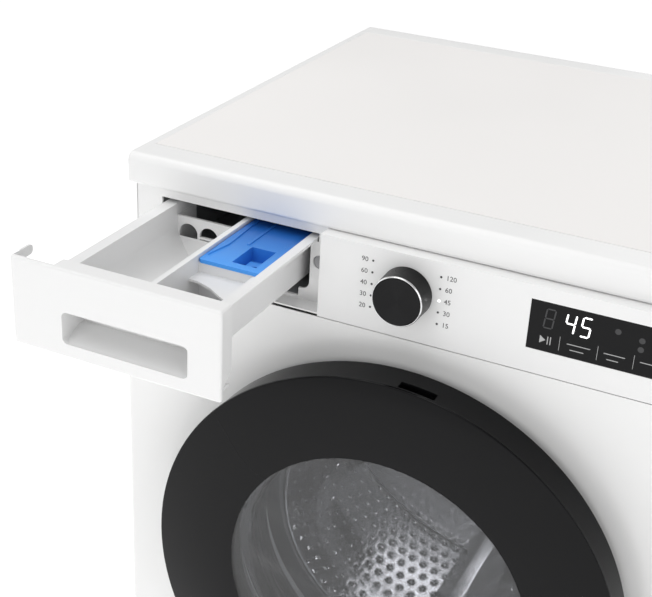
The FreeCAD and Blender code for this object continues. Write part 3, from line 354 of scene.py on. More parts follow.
# Control fascia: a satin white moulding with a recess for the drawer front.
# Its edges are softened as a moulding's are, with the printed temperatures beside the lamps.
fascia_white = finish("fascia_white", (0.83, 0.83, 0.828), 0.34, mottle=0.006, grain=0.004 * MM)
softened("fascia_moulding", "control_fascia", 0.5, fascia_white, "cabinet", "white_plastic")
coat(fascia_white, "filter_flap", "transit_bolt_caps")
ink = finish("fascia_print", (0.05, 0.05, 0.052), 0.5, mottle=0.05)
lamp_dark = finish("lamp_dark", (0.03, 0.03, 0.031), 0.3)
coat(lamp_dark, "program_lamps")
lamp_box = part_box("program_lamps")
lamp_xs = (lamp_box[0][0] / MM + 1, lamp_box[1][0] / MM - 1)
LAMP_PITCH, PRINT_SIZE, PRINT_GAP = 11.2, 6.4, 4.5
lamp_zs = [lamp_box[0][2] / MM + 1 + LAMP_PITCH * step for step in range(5)]
front_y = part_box("display_window")[0][1] / MM


def lettering(words, size, spot, align):
    """Raised print 0.1 mm thick of a word, facing the front."""
    curve = bpy.data.curves.new("print", "FONT")
    curve.body = words
    curve.size = size * MM
    curve.align_x = align
    curve.align_y = "CENTER"
    curve.extrude = 0.06 * MM
    curve.resolution_u = 3
    seat = bpy.data.objects.new("print", curve)
    bpy.context.scene.collection.objects.link(seat)
    bpy.context.view_layer.update()
    mesh = bpy.data.meshes.new_from_object(seat.evaluated_get(bpy.context.evaluated_depsgraph_get()))
    bpy.data.objects.remove(seat)
    mesh.transform(Matrix.Translation(Vector(spot) * MM) @ Matrix.Rotation(math.radians(90), 4, "X"))
    return mesh


def gathered(name, meshes, material, body, slot):
    """Several meshes made one piece that rides on a body."""
    work = bmesh.new()
    for mesh in meshes:
        work.from_mesh(mesh)
    bmesh.ops.remove_doubles(work, verts=work.verts, dist=1e-7)
    return settle(object_from(name, mesh_from(work), material), body, slot)


dial = [lettering(words, PRINT_SIZE, (lamp_xs[0] - PRINT_GAP, front_y - 0.05, z), "RIGHT")
        for words, z in zip(("20", "30", "40", "60", "90"), lamp_zs)]
dial += [lettering(words, PRINT_SIZE, (lamp_xs[1] + PRINT_GAP, front_y - 0.05, z), "LEFT")
         for words, z in zip(("15", "30", "45", "60", "120"), lamp_zs)]
gathered("dial_numbers", dial, ink, "cabinet", "black_plastic")


# Recess stud and lit lamp: a grey plastic stud in the drawer's recess, and a clear dome that is lit.
# Both are low turned domes; the lamp covers the third pin on the right.
def dome(spot, radius, rise):
    """A low round dome that faces the front."""
    outline = [(radius * math.cos(step * math.pi / 8), -rise * math.sin(step * math.pi / 8))
               for step in range(5)]
    outline[-1] = (0, -rise)
    return turned([(0, 0.3), (radius, 0.3), *outline], spot, 20)


STUD_SPOT, STUD_R = (-100, -266.2, 783), 6.3
stud_grey = finish("stud_grey", (0.35, 0.35, 0.36), 0.4, mottle=0.04)
gathered("recess_stud", [dome(STUD_SPOT, STUD_R, 1.2)], stud_grey, "cabinet", "grey_plastic")
lit = finish("lamp_lit", (1, 1, 1), 0.3, Emission_Color=(1, 1, 1, 1), Emission_Strength=1.6)
gathered("lit_lamp", [dome((lamp_xs[1], front_y - 0.2, lamp_zs[2]), 1.2, 0.35)], lit, "cabinet",
         "lamp_clear")

# Display: a black glass window before a green circuit board, with a lit two digit number.
# The digits are seven bars each; the keys are a start sign, thin dividers and dashes.
coat(finish("board_green", (0.01, 0.1, 0.04), 0.5, mottle=0.2, mottle_size=0.006), "display_board")
window_black = finish("window_black", (0.008, 0.008, 0.0085), 0.16, mottle=0.02, grain=0.001 * MM,
                      Specular_IOR_Level=0.12)
softened("window_glass", "display_window", 0.4, window_black, "cabinet", "display_glass")


PRINT_RISE = 0.12


def tile(points, height):
    """A thin flat tile on the window, from its outline in X and Z in millimetres."""
    work = bmesh.new()
    back = [work.verts.new((x * MM, (front_y + 0.1) * MM, z * MM)) for x, z in points]
    front = [work.verts.new((x * MM, (front_y - height) * MM, z * MM)) for x, z in points]
    work.faces.new(back)
    work.faces.new(front)
    for i in range(len(points)):
        k = (i + 1) % len(points)
        work.faces.new((back[i], back[k], front[k], front[i]))
    return mesh_from(work)


def bar(start, end, thick):
    """A straight bar with pointed ends between two points of the window."""
    along = (Vector(end) - Vector(start)).normalized()
    side = Vector((-along.y, along.x)) * thick / 2
    a, b = Vector(start), Vector(end)
    inner_a, inner_b = a + along * thick / 2, b - along * thick / 2
    points = [a, inner_a + side, inner_b + side, b, inner_b - side, inner_a - side]
    return tile([tuple(point) for point in points], PRINT_RISE)


SEGMENTS = {"4": "bcfg", "5": "acdfg", "8": "abcdefg"}
DIGIT_LOW, DIGIT_WIDE, DIGIT_TALL, DIGIT_GAP, DIGIT_LEAN = 783.8, 7.4, 17.4, 0.25, 0.10


def digit(figure, left, thick):
    """The bars of one figure, leaning a little to the right as such figures do."""
    low = DIGIT_LOW
    middle, high, end = low + DIGIT_TALL / 2, low + DIGIT_TALL, left + DIGIT_WIDE
    lines = {"a": ((left, high), (end, high)), "b": ((end, middle), (end, high)),
             "c": ((end, low), (end, middle)), "d": ((left, low), (end, low)),
             "e": ((left, low), (left, middle)), "f": ((left, middle), (left, high)),
             "g": ((left, middle), (end, middle))}
    bars = []
    for word in SEGMENTS[figure]:
        pair = []
        for x, z in lines[word]:
            pair.append(Vector((x + DIGIT_LEAN * (z - low), z)))
        along = (pair[1] - pair[0]).normalized() * DIGIT_GAP
        bars.append(bar(pair[0] + along, pair[1] - along, thick))
    return bars


digits = digit("4", 132.3, 1.4) + digit("5", 145.4, 1.4)
screen_white = finish("screen_white", (1, 1, 1), 0.4, Emission_Color=(1, 1, 1, 1), Emission_Strength=1.3)
gathered("screen_digits", digits, screen_white, "cabinet", "lamp_clear")
ghosts = digit("8", 114.6, 1.2)
SPOT_R = 2.6
circle = [(SPOT_R * math.cos(math.tau * step / 16), SPOT_R * math.sin(math.tau * step / 16))
          for step in range(16)]
ghosts += [tile([(x + across_x, z + up_z) for across_x, up_z in circle], 0.05)
           for x, z in ((176, 796), (196, 793), (196, 785), (212, 790))]
screen_dim = finish("screen_dim", (0.03, 0.03, 0.032), 0.35)
gathered("screen_ghosts", ghosts, screen_dim, "cabinet", "display_glass")
keys = [tile([(113, 769), (118, 772.5), (113, 776)], PRINT_RISE)]
keys += [bar((x, 768.6), (x, 776.4), 0.8) for x in (119.8, 122.2)]
keys += [bar((x, 766), (x, 779), 0.35) for x in (130, 162, 192, 222, 246)]
keys += [bar((x, z), (x + wide, z), 0.7) for x, z, wide in
         ((136, 774, 20), (139, 769, 12), (167, 774, 18), (170, 769, 10), (197, 774, 18), (227, 774, 14))]
screen_grey = finish("screen_grey", (0.3, 0.3, 0.3), 0.4, Emission_Color=(1, 1, 1, 1),
                     Emission_Strength=0.12)
gathered("screen_keys", keys, screen_grey, "cabinet", "lamp_clear")

# Program knob: a spun aluminium cup, black anodised, with a bright turned line round its face.
# The face is turned with fine rings, so light fans out on it; the skirt is ribbed very finely.
knob_low, knob_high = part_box("knob_body")
knob_middle = ((knob_low[0] + knob_high[0]) / 2 / MM, 0, (knob_low[2] + knob_high[2]) / 2 / MM)
knob_face_y, knob_back_y = knob_low[1] / MM, knob_high[1] / MM
KNOB_R = 23.5


def skirt(outline, centre, ribs, depth, low, high):
    """A turned cup whose side has fine ribs between two heights."""
    mesh = turned(outline, centre, ribs * 2)
    middle = Vector(centre) * MM
    for vertex in mesh.vertices:
        offset = vertex.co - middle
        radius = math.hypot(offset.x, offset.z)
        if low * MM < offset.y < high * MM and radius > (KNOB_R - 1) * MM:
            turn = math.atan2(offset.z, offset.x) / math.tau * ribs * 2
            if round(turn) % 2:
                share = 1 - depth * MM / radius
                vertex.co = middle + Vector((offset.x * share, offset.y, offset.z * share))
    return mesh


knob_outline = [(0, knob_face_y + 0.25), (KNOB_R * 0.5, knob_face_y + 0.05), (KNOB_R - 2.2, knob_face_y),
                (KNOB_R - 1.6, knob_face_y + 0.4), (KNOB_R - 1.6, knob_face_y + 1.2),
                (KNOB_R - 0.3, knob_face_y + 1.2), (KNOB_R - 0.25, knob_face_y + 1.8),
                (KNOB_R + 0.3, knob_back_y - 2), (KNOB_R + 0.4, knob_back_y), (KNOB_R - 2.4, knob_back_y),
                (KNOB_R - 2.8, knob_face_y + 3.2), (6.5, knob_face_y + 3.2), (6.5, knob_back_y - 2.4),
                (3.05, knob_back_y - 2.4), (3.05, knob_face_y + 3.5), (0, knob_face_y + 3.5)]
knob_black = finish("knob_black", (0.014, 0.014, 0.0145), 0.26, 0.9, mottle=0.02, grain=0, Anisotropic=0.85)
knob_tree = knob_black.node_tree
turning = knob_tree.nodes.new("ShaderNodeTangent")
turning.direction_type, turning.axis = "RADIAL", "Y"
knob_tree.links.new(turning.outputs["Tangent"], knob_tree.nodes["Principled BSDF"].inputs["Tangent"])
ribbed = skirt(knob_outline, knob_middle, 120, 0.16, knob_face_y + 1.5, knob_back_y - 1.9)
settle(object_from("knob_cup", ribbed, knob_black, 28), "knob", "knob_black", "knob_body")
silver = finish("silver", (0.72, 0.72, 0.725), 0.22, 1.0, grain=0)
ring_outline = [(KNOB_R - 1.25, knob_face_y - 0.1), (KNOB_R - 0.8, knob_face_y - 0.15),
                (KNOB_R - 0.3, knob_face_y + 0.35), (KNOB_R - 0.3, knob_face_y + 1.15),
                (KNOB_R - 1.55, knob_face_y + 1.15)]
settle(object_from("knob_line", turned(ring_outline, knob_middle, 128), silver), "knob", "silver_trim",
       "knob_ring")

# Detergent drawer: a deep white front with a moulded finger grip, and a tray behind it.
# Both are injection moulded, so every edge is slightly round and the corners of the bays are coved.
softened("drawer_face", "drawer_front", 0.9, fascia_white, "drawer", "white_plastic")
tray_white = finish("tray_white", (0.82, 0.82, 0.82), 0.4, mottle=0.01, grain=0.006 * MM)
softened("tray_moulding", "drawer_tray", 0.9, tray_white, "drawer", "tray_plastic")


def cove(start, end, radius, side, up):
    """A hollow-faced fillet along a straight inner corner between two points, in millimetres."""
    work = bmesh.new()
    side, up = Vector(side), Vector(up)
    arc = [Vector((0, 0, 0))]
    for step in range(9):
        angle = math.pi / 2 * step / 8
        arc.append(side * radius * (1 - math.sin(angle)) + up * radius * (1 - math.cos(angle)))
    rows = [[work.verts.new((Vector(spot) + point) * MM) for point in arc] for spot in (start, end)]
    for row in rows:
        work.faces.new(row)
    for i in range(len(arc)):
        k = (i + 1) % len(arc)
        work.faces.new((rows[0][i], rows[0][k], rows[1][k], rows[1][i]))
    return mesh_from(work)


tray_low, tray_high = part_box("drawer_tray")
bay_left, bay_floor = tray_low[0] / MM + 12.05, tray_low[2] / MM + 2.65
bay_right = -179.55
bay_front, bay_back = tray_low[1] / MM + 18.4, tray_high[1] / MM - 34.05
front_left, back_left = (bay_left, bay_front, bay_floor), (bay_left, bay_back, bay_floor)
front_right, back_right = (bay_right, bay_front, bay_floor), (bay_right, bay_back, bay_floor)
coves = [cove(start, end, radius, side, (0, 0, 1)) for start, end, radius, side in
         ((front_left, back_left, 24, (1, 0, 0)), (back_left, back_right, 15, (0, -1, 0)),
          (front_right, back_right, 12, (-1, 0, 0)))]
gathered("bay_coves", coves, tray_white, "drawer", "tray_plastic")

# Siphon cap: the blue moulded lid of the softener bay, which lifts out for cleaning.
# The translucent blue is painted pale at the front and deeper towards the back: painted shade for the shadow
# it lies in at the back.
def painted_shade_fade(material, painted_lit_colour, painted_shade_colour, front, back):
    """Paint shade into a finish: its colour changes evenly from a pale front to a shaded back."""
    tree = material.node_tree
    along = tree.nodes.new("ShaderNodeSeparateXYZ")
    tree.links.new(tree.nodes["Texture Coordinate"].outputs["Object"], along.inputs[0])
    depth = tree.nodes.new("ShaderNodeMapRange")
    for word, value in (("From Min", front), ("From Max", back), ("To Min", 0.0), ("To Max", 1.0)):
        depth.inputs[word].default_value = value
    tree.links.new(along.outputs["Y"], depth.inputs["Value"])
    shade = tree.nodes.new("ShaderNodeMix")
    shade.data_type = "RGBA"
    shade.inputs["A"].default_value = (*painted_lit_colour, 1)
    shade.inputs["B"].default_value = (*painted_shade_colour, 1)
    tree.links.new(depth.outputs["Result"], shade.inputs["Factor"])
    tree.links.new(shade.outputs["Result"], tree.nodes["Principled BSDF"].inputs["Base Color"])


blue = finish("cap_blue", (0.014, 0.20, 0.74), 0.32, mottle=0.04, grain=0.004 * MM)
cap_low, cap_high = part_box("siphon_cap")
# The cap's colour fades from pale blue at the front to dark blue at the back: painted shade.
painted_shade_fade(blue, (0.06, 0.34, 0.92), (0.004, 0.055, 0.32), cap_low[1], cap_high[1])
softened("softener_cap", "siphon_cap", 0.6, blue, "drawer", "blue_plastic")

# Door: a thick glass disc, clear in the middle and printed black round it, over a glossy rim.
# The margin is one ring with the print on its back, so it shows as deep black glass.
door_low, door_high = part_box("door_glass")
DOOR_Z = (door_low[2] + door_high[2]) / 2 / MM
glass_back = door_high[1] / MM
glass_r = (door_high[0] - door_low[0]) / 2 / MM
AXIS = (0, 0, DOOR_Z)
VIEW_R, GLASS_THICK = 151, 4
clear = finish("clear_glass", (1, 1, 1), 0.015, mottle=0, grain=0, IOR=1.5, Specular_IOR_Level=0.15,
               Transmission_Weight=1.0)
coat(clear, "door_bowl")
glass_front = glass_back - GLASS_THICK
disc = [(0, glass_front), (VIEW_R, glass_front), (VIEW_R, glass_back), (0, glass_back)]
tinted = finish("tinted_glass", (0.54, 0.55, 0.57), 0.015, mottle=0, grain=0, IOR=1.45,
                Specular_IOR_Level=0.2, Transmission_Weight=1.0)
settle(object_from("door_view", turned(disc, AXIS, 192), tinted), "door", "door_glass", "door_glass")
printed = finish("printed_glass", (0.005, 0.005, 0.0055), 0.1, mottle=0.02, grain=0, IOR=1.35,
                 Specular_IOR_Level=0.25)
margin = [(VIEW_R, glass_front), (glass_r - 1.4, glass_front), (glass_r - 0.4, glass_back - 3.6),
          (glass_r, glass_back - 2.6), (glass_r, glass_back - 0.6), (glass_r - 0.6, glass_back),
          (VIEW_R, glass_back)]
settle(object_from("door_margin", turned(margin, AXIS, 192), printed), "door", "door_glass")
black_gloss = finish("black_gloss", (0.004, 0.004, 0.0045), 0.14, mottle=0.02, grain=0.001 * MM,
                     IOR=1.25, Specular_IOR_Level=0.3)
softened("door_ring", "door_rim", 0.5, black_gloss, "door", "black_gloss")
black_plastic = finish("black_plastic", (0.03, 0.03, 0.031), 0.45, mottle=0.05, grain=0.012 * MM)
coat(black_plastic, "cable_gland", "water_valve", "door_lock", "door_frame", "program_selector",
     "damper_cylinder_left", "damper_cylinder_right")


# Door seal: a folded grey rubber bellows from the steel front to the tub's mouth.
# It is one moulding, gripped by a lip at each end, and it flexes as the tub moves.
def band(path, thick):
    """The closed outline of a strip of even thickness along a path of (radius, height)."""
    points = [Vector(point) for point in path]
    left, right_side = [], []
    for i, point in enumerate(points):
        before = points[max(i - 1, 0)]
        after = points[min(i + 1, len(points) - 1)]
        along = (after - before).normalized()
        side = Vector((-along.y, along.x)) * thick / 2
        left.append(tuple(point + side))
        right_side.append(tuple(point - side))
    return left + right_side[::-1]


def rounded_path(points):
    """A path whose corners are cut twice, so that they are round."""
    path = [Vector(point) for point in points]
    for _ in range(2):
        cut = [path[0]]
        for here, there in zip(path, path[1:]):
            cut += [here.lerp(there, 0.25), here.lerp(there, 0.75)]
        path = cut + [path[-1]]
    return [tuple(point) for point in path]


fold = [(172.6, -276), (172.6, -259), (168, -255), (160, -265), (157.5, -259), (166, -250), (160.5, -243.5),
        (163.5, -234.5), (168.6, -232.5), (169.6, -246.6), (175, -248), (180.6, -246.6), (180.6, -230)]
grey_rubber = finish("grey_rubber", (0.045, 0.047, 0.05), 0.5, mottle=0.05, grain=0.01 * MM)
bellows = object_from("door_bellows", turned(band(rounded_path(fold), 2), AXIS, 128), grey_rubber, 60)
settle(bellows, None, "grey_rubber", "door_gasket")
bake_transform(bellows)


# Drum: stainless sheet, pierced and embossed in staggered rows, rolled and seamed to a turned front.
# Each cell of the pattern is a shallow round cup with a hole through its middle.
def drum_cell(wide, tall, thick):
    """One cell of the sheet with its cup and hole, open on its four sides."""
    work = bmesh.new()
    edge = [(-wide / 2, -tall / 2), (0, -tall / 2), (wide / 2, -tall / 2), (wide / 2, tall / 2),
            (0, tall / 2), (-wide / 2, tall / 2)]
    rings = []
    for level in (0, thick):
        face = [[work.verts.new((x, y, level)) for x, y in edge]]
        for radius, rise in ((5.6 * MM, 0.2 * MM), (3.4 * MM, 1.9 * MM), (1.6 * MM, 1.5 * MM)):
            face.append([work.verts.new((radius * math.cos(angle), 1.25 * radius * math.sin(angle),
                                         level + rise))
                         for angle in (math.radians(60 * step - 150) for step in range(6))])
        rings.append(face)
    for side, face in enumerate(rings):
        for outer, inner in zip(face, face[1:]):
            for i in range(6):
                k = (i + 1) % 6
                corners = (outer[i], outer[k], inner[k], inner[i])
                work.faces.new(corners if side else corners[::-1])
    for i in range(6):
        k = (i + 1) % 6
        work.faces.new((rings[0][-1][i], rings[0][-1][k], rings[1][-1][k], rings[1][-1][i]))
    mesh = bpy.data.meshes.new("drum_cell")
    work.to_mesh(mesh)
    work.free()
    return mesh


def rolled_sheet(name, cell, columns, rows, wide, tall, radius, material):
    """Cells laid in staggered rows and rolled round the drum's axis by Geometry Nodes."""
    tree = bpy.data.node_groups.new(name + "_plan", "GeometryNodeTree")
    tree.interface.new_socket("Geometry", in_out="INPUT", socket_type="NodeSocketGeometry")
    tree.interface.new_socket("Geometry", in_out="OUTPUT", socket_type="NodeSocketGeometry")
    sizes = {"Columns": columns, "Rows": rows, "Cell Width": wide, "Cell Height": tall, "Radius": radius}
    sockets = {}
    for word, value in sizes.items():
        kind = "NodeSocketInt" if word in ("Columns", "Rows") else "NodeSocketFloat"
        sockets[word] = tree.interface.new_socket(word, in_out="INPUT", socket_type=kind)
    sockets["Cell"] = tree.interface.new_socket("Cell", in_out="INPUT", socket_type="NodeSocketObject")
    sockets["Finish"] = tree.interface.new_socket("Finish", in_out="INPUT", socket_type="NodeSocketMaterial")
    given = tree.nodes.new("NodeGroupInput")
    result = tree.nodes.new("NodeGroupOutput")

    def number(operation, first, second):
        """The result of a maths operation on two values or sockets."""
        node = tree.nodes.new("ShaderNodeMath")
        node.operation = operation
        for slot, value in zip(node.inputs, (first, second)):
            if isinstance(value, (int, float)):
                slot.default_value = value
            else:
                tree.links.new(value, slot)
        return node.outputs[0]

    def point(x, y, z):
        """A place from three values."""
        node = tree.nodes.new("ShaderNodeCombineXYZ")
        for slot, value in zip(node.inputs, (x, y, z)):
            if isinstance(value, (int, float)):
                slot.default_value = value
            else:
                tree.links.new(value, slot)
        return node.outputs[0]

    def moved(geometry, position):
        """The geometry with each point put at a new place."""
        node = tree.nodes.new("GeometryNodeSetPosition")
        tree.links.new(geometry, node.inputs["Geometry"])
        tree.links.new(position, node.inputs["Position"])
        return node.outputs["Geometry"]

    total = number("MULTIPLY", given.outputs["Columns"], given.outputs["Rows"])
    line = tree.nodes.new("GeometryNodeMeshLine")
    tree.links.new(total, line.inputs["Count"])
    index = tree.nodes.new("GeometryNodeInputIndex").outputs[0]
    row = number("FLOOR", number("DIVIDE", number("ADD", index, 0.5), given.outputs["Columns"]), 0)
    column = number("SUBTRACT", index, number("MULTIPLY", row, given.outputs["Columns"]))
    stagger = number("MULTIPLY", number("MODULO", row, 2), 0.5)
    along = number("MULTIPLY", number("ADD", column, stagger), given.outputs["Cell Width"])
    deep = number("MULTIPLY", number("ADD", row, 0.5), given.outputs["Cell Height"])
    spots = moved(line.outputs["Mesh"], point(along, deep, 0))
    look = tree.nodes.new("GeometryNodeObjectInfo")
    tree.links.new(given.outputs["Cell"], look.inputs["Object"])
    copy = tree.nodes.new("GeometryNodeInstanceOnPoints")
    tree.links.new(spots, copy.inputs["Points"])
    tree.links.new(look.outputs["Geometry"], copy.inputs["Instance"])
    real = tree.nodes.new("GeometryNodeRealizeInstances")
    tree.links.new(copy.outputs["Instances"], real.inputs["Geometry"])
    here = tree.nodes.new("ShaderNodeSeparateXYZ")
    tree.links.new(tree.nodes.new("GeometryNodeInputPosition").outputs[0], here.inputs[0])
    whole = number("MULTIPLY", given.outputs["Columns"], given.outputs["Cell Width"])
    turn = number("MULTIPLY", number("DIVIDE", here.outputs[0], whole), math.tau)
    reach = number("SUBTRACT", given.outputs["Radius"], here.outputs[2])
    rolled = moved(real.outputs["Geometry"],
                   point(number("MULTIPLY", reach, number("COSINE", turn, 0)), here.outputs[1],
                         number("MULTIPLY", reach, number("SINE", turn, 0))))
    weld = tree.nodes.new("GeometryNodeMergeByDistance")
    weld.inputs["Distance"].default_value = 0.00002
    tree.links.new(rolled, weld.inputs["Geometry"])
    paint = tree.nodes.new("GeometryNodeSetMaterial")
    tree.links.new(weld.outputs["Geometry"], paint.inputs["Geometry"])
    tree.links.new(given.outputs["Finish"], paint.inputs["Material"])
    tree.links.new(paint.outputs["Geometry"], result.inputs["Geometry"])

    seat = bpy.data.objects.new(name + "_work", bpy.data.meshes.new(name + "_work"))
    pattern = bpy.data.objects.new(name + "_cell", cell)
    for item in (seat, pattern):
        bpy.context.scene.collection.objects.link(item)
    grow = seat.modifiers.new("grow", "NODES")
    grow.node_group = tree
    for word, value in (*sizes.items(), ("Cell", pattern), ("Finish", material)):
        grow[sockets[word].identifier] = value
    return harvest(name, seat, material, pattern)


drum_low, drum_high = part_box("drum_shell")
DRUM_R = (drum_high[0] - drum_low[0]) / 2
COLUMNS, ROWS, SHEET = 96, 15, 0.0012
sheet_front, sheet_back = -0.188, 0.1025
cell_wide = math.tau * (DRUM_R - SHEET) / COLUMNS
cell_tall = (sheet_back - sheet_front) / ROWS
steel = finish("drum_steel", (0.50, 0.50, 0.51), 0.17, 1.0, mottle=0.03, grain=0.004 * MM,
               grain_size=0.6 * MM)
wall = rolled_sheet("drum_wall", drum_cell(cell_wide, cell_tall, SHEET), COLUMNS, ROWS, cell_wide,
                    cell_tall, DRUM_R, steel)
work = bmesh.new()
work.from_mesh(wall.data)
bmesh.ops.remove_doubles(work, verts=work.verts, dist=2e-5)
ends = [edge for edge in work.edges if edge.is_boundary]
for low_end in (True, False):
    loop = [edge for edge in ends if (edge.verts[0].co.y < cell_tall * ROWS / 2) == low_end]
    bmesh.ops.bridge_loops(work, edges=loop)
bmesh.ops.recalc_face_normals(work, faces=work.faces)
bmesh.ops.translate(work, verts=work.verts, vec=(0, sheet_front, DOOR_Z * MM))
work.to_mesh(wall.data)
work.free()
wall.data.shade_smooth()
settle(wall, "drum", "stainless", "drum_shell")
r = DRUM_R / MM
front_ring = rounded_path([(156, -203.5), (152.6, -205.4), (153.5, -208.2), (158, -208.6),
                           (172, -205.8), (205, -201), (r - 11, -197), (r - 3.5, -193),
                           (r - 0.7, -184), (r - 0.7, -180)])
settle(object_from("drum_front", turned(band(front_ring, 1.2), AXIS, 160), steel, 50), "drum", "stainless")


def pressed_back(radius, y, thick):
    """The drum's back: a disc pressed with a raised star of three arms round a flat topped hub."""
    rings = 26
    work = bmesh.new()
    sides = []
    for level in (0, thick):
        rows = []
        for ring in range(1, rings + 1):
            reach = radius * ring / rings
            row = []
            for step in range(120):
                angle = math.tau * step / 120
                star = max(0.0, math.cos(3 * (angle - math.radians(60)))) ** 2
                hill = math.sin(math.pi * min(1.0, ring / rings)) ** 0.6 * star * 7 * MM
                hub = 6 * MM * max(0.0, 1 - (ring / rings / 0.28) ** 4)
                row.append(work.verts.new((reach * math.cos(angle), y + level - hill - hub,
                                           reach * math.sin(angle))))
            rows.append(row)
        for inner, outer in zip(rows, rows[1:]):
            for step in range(120):
                after = (step + 1) % 120
                work.faces.new((inner[step], outer[step], outer[after], inner[after]))
        work.faces.new(rows[0])
        sides.append(rows[-1])
    for step in range(120):
        after = (step + 1) % 120
        work.faces.new((sides[0][step], sides[0][after], sides[1][after], sides[1][step]))
    bmesh.ops.translate(work, verts=work.verts, vec=(0, 0, DOOR_Z * MM))
    return mesh_from(work)


settle(object_from("drum_pressing", pressed_back(DRUM_R - 2.2 * MM, 0.1035, 1.2 * MM), steel, 50), "drum",
       "stainless", "drum_back")
softened("lifter_vanes", "drum_lifters", 3, steel, "drum", "stainless", segments=3)

# Tub and its castings: glass filled polypropylene halves, a cast spider, and concrete weights.
# The weights are grey cast concrete with fine pores; the castings are bead blasted.
alloy = finish("alloy", (0.55, 0.55, 0.56), 0.45, 1.0, mottle=0.06, grain=0.02 * MM)
coat(alloy, "door_hinge_arm", "hinge_bracket", "drum_spider")
tub_plastic = finish("tub_plastic", (0.56, 0.58, 0.59), 0.5, mottle=0.03, mottle_size=0.02, grain=0.02 * MM)
coat(tub_plastic, "tub_front", "tub_rear")
concrete = finish("cast_concrete", (0.30, 0.295, 0.28), 0.9, mottle=0.16, mottle_size=0.006, grain=0.25 * MM,
                  grain_size=2.2 * MM)
softened("weight_above", "counterweight_upper", 4, concrete, "tub", "cast_weight", segments=3)
softened("weight_below", "counterweight_lower", 4, concrete, "tub", "cast_weight", segments=3)
zinc = finish("zinc", (0.6, 0.61, 0.62), 0.3, 1.0, mottle=0.08, mottle_size=0.01)
coat(zinc, "hinge_pin", "door_hook", "shaft_bearings", "gasket_clamp", "drum_shaft", "motor_rotor", "heater",
     "stator")

# Stator windings: copper wire wound round each of the 24 teeth behind the tub.
# Each winding is a stack of round turns pressed into an oval.
copper = finish("copper_wire", (0.75, 0.32, 0.13), 0.3, 1.0, mottle=0.08, mottle_size=0.004)


def winding():
    """A stack of turns round a tooth that points along X."""
    work = bmesh.new()
    levels = []
    for level in range(11):
        swell = 0.7 if level % 2 else 0.0
        row = []
        for step in range(12):
            angle = math.tau * step / 12
            row.append(work.verts.new((Vector((98 + 1.5 * level, (10.6 + swell) * math.sin(angle),
                                               (7.2 + swell) * math.cos(angle)))) * MM))
        levels.append(row)
    for low_row, high_row in zip(levels, levels[1:]):
        for step in range(12):
            after = (step + 1) % 12
            work.faces.new((low_row[step], high_row[step], high_row[after], low_row[after]))
    work.faces.new(levels[0])
    work.faces.new(levels[-1])
    return mesh_from(work)


STATOR_Y, TEETH = 186, 24
coils = plant("stator_windings", winding(), [(0, STATOR_Y, DOOR_Z)] * TEETH,
              [(0, math.tau * tooth / TEETH, 0) for tooth in range(TEETH)], copper)
settle(coils, "tub", "copper_steel")


# Suspension springs: coiled steel wire with a hook at each end, hung from the side walls.
# The hooks hold the tub's eyes; the coils stretch as the tub moves.
def wire(name, points, thick, material):
    """A round wire along a path of points, with closed ends."""
    curve = bpy.data.curves.new(name, "CURVE")
    curve.dimensions = "3D"
    curve.bevel_depth = thick / 2 * MM
    curve.bevel_resolution = 2
    curve.use_fill_caps = True
    line = curve.splines.new("POLY")
    line.points.add(len(points) - 1)
    for spot, point in zip(line.points, points):
        spot.co = (*(Vector(point) * MM), 1)
    seat = bpy.data.objects.new(name, curve)
    bpy.context.scene.collection.objects.link(seat)
    bpy.context.view_layer.update()
    mesh = bpy.data.meshes.new_from_object(seat.evaluated_get(bpy.context.evaluated_depsgraph_get()))
    bpy.data.objects.remove(seat)
    work = bmesh.new()
    work.from_mesh(mesh)
    bmesh.ops.remove_doubles(work, verts=work.verts, dist=1e-6)
    return object_from(name, mesh_from(work), material, 60)


spring_steel = finish("spring_steel", (0.35, 0.35, 0.36), 0.32, 1.0, mottle=0.05)
SPRING_LOW, SPRING_HIGH, SPRING_Y, COIL_R, TURNS = (228, 642), (262, 786), 20, 11, 16
for side, word in ((-1, "left"), (1, "right")):
    foot = Vector((side * SPRING_LOW[0], SPRING_Y, SPRING_LOW[1]))
    head = Vector((side * SPRING_HIGH[0], SPRING_Y, SPRING_HIGH[1]))
    length = (head - foot).length
    turn = Vector((0, 0, 1)).rotation_difference(head - foot)
    path = [Vector((0, 0, 9)), Vector((0, 0, 16))]
    for step in range(TURNS * 16 + 1):
        angle = math.tau * step / 16
        fade = min(1.0, step / 8, (TURNS * 16 - step) / 8)
        path.append(Vector((COIL_R * fade * math.cos(angle), COIL_R * fade * math.sin(angle),
                            20 + (length - 40) * step / (TURNS * 16))))
    path += [Vector((0, 0, length - 16)), Vector((0, 0, length - 6))]
    spring = wire(f"spring_{word}", [foot + turn @ point for point in path], 3, spring_steel)
    settle(spring, None, "zinc_steel", *(["suspension_springs"] if side < 0 else []))
    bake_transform(spring)


# Rubber sleeves: corrugated hoses from the dispenser to the tub and from the tub to the pump.
# Each has a smooth cuff at both ends, gripped by a wire clip.
rubber = finish("black_rubber", (0.025, 0.025, 0.026), 0.7, mottle=0.1, grain=0.03 * MM)
coat(rubber, "shaft_seal", "valve_hose")


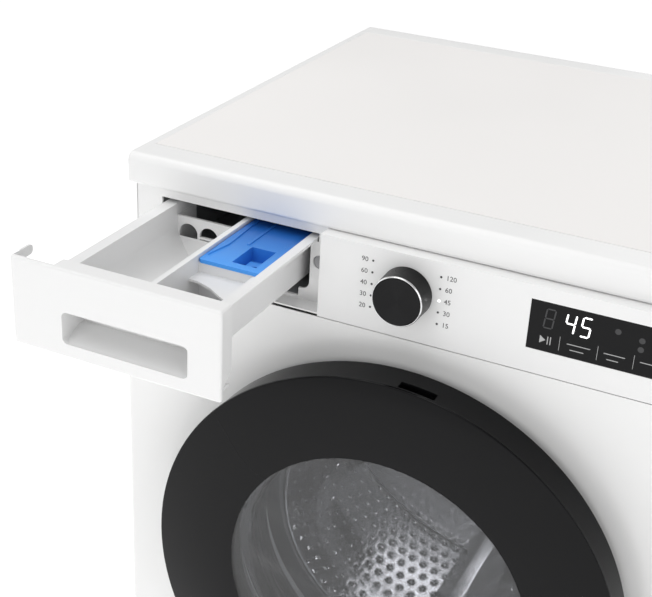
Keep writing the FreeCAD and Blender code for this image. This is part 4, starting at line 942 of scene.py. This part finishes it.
def sleeve(name, node, folds, bore):
    """A corrugated sleeve in place of a plain one, with smooth cuffs."""
    low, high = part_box(node)
    centre = ((low[0] + high[0]) / 2 / MM, (low[1] + high[1]) / 2 / MM, 0)
    start, end = low[2] / MM, high[2] / MM
    radius = (high[0] - low[0]) / 2 / MM
    cuff = (end - start) * 0.2
    outer = [(radius - 2, start), (radius - 1.4, start + 0.6), (radius - 1.4, start + cuff)]
    for step in range(folds * 4):
        height = start + cuff + (end - start - 2 * cuff) * (step + 0.5) / (folds * 4)
        outer.append((radius - 1.2 + 1.1 * math.sin(math.tau * (step + 0.5) / 4), height))
    outer += [(radius - 1.4, end - cuff), (radius - 1.4, end - 0.6), (radius - 2, end)]
    inner = [(bore, end), (bore, start)]
    piece = object_from(name, turned(outer + inner, centre, 48, "z"), rubber, 60)
    settle(piece, None, "black_rubber", node)
    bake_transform(piece)


sleeve("dispenser_sleeve", "dispenser_hose", 4, 16.4)
sleeve("sump_sleeve", "sump_hose", 6, 20.4)

# Plain mouldings inside: dispenser, pump, filter, control box and damper rods in grey plastic.
grey_plastic = finish("grey_plastic", (0.30, 0.31, 0.32), 0.5, mottle=0.04, grain=0.012 * MM)
coat(grey_plastic, "dispenser_housing", "drain_pump", "drain_filter", "drain_spout", "control_box",
     "damper_rod_left", "damper_rod_right")

# Levelling feet: ribbed rubber pads on threaded plated stems, each locked by a nut.
foot_low, foot_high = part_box("levelling_feet")
foot_x, foot_y = foot_high[0] / MM - 21, foot_high[1] / MM - 21
corners = [(x, y, 0) for x in (-foot_x, foot_x) for y in (-foot_y, foot_y)]
pad = [(0, 0), (20.4, 0), (21, 0.6), (21, 2.4), (20, 2.8), (20.4, 3.4), (20.4, 4.6), (19.4, 5), (19.8, 5.6),
       (19.6, 6.8), (18.6, 7.2), (18.8, 8), (18.2, 11.2), (17.4, 12), (0, 12)]
pads = gathered("foot_pads", [turned(pad, corner, 48, "z") for corner in corners], rubber, "cabinet",
                "black_rubber")
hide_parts("levelling_feet")
thread = [(0, 12)]
for step in range(36):
    thread += [(4.5, 12 + step), (5, 12.5 + step)]
thread += [(4.5, 48), (0, 48)]
stems = [turned(thread, corner, 20, "z") for corner in corners]
nut = [(5.2, 13.3), (9.6, 13.3), (10.2, 14), (10.2, 18.6), (9.6, 19.3), (5.2, 19.3)]
stems += [turned(nut, corner, 6, "z") for corner in corners]
gathered("foot_stems", stems, plated, "cabinet", "zinc_steel")
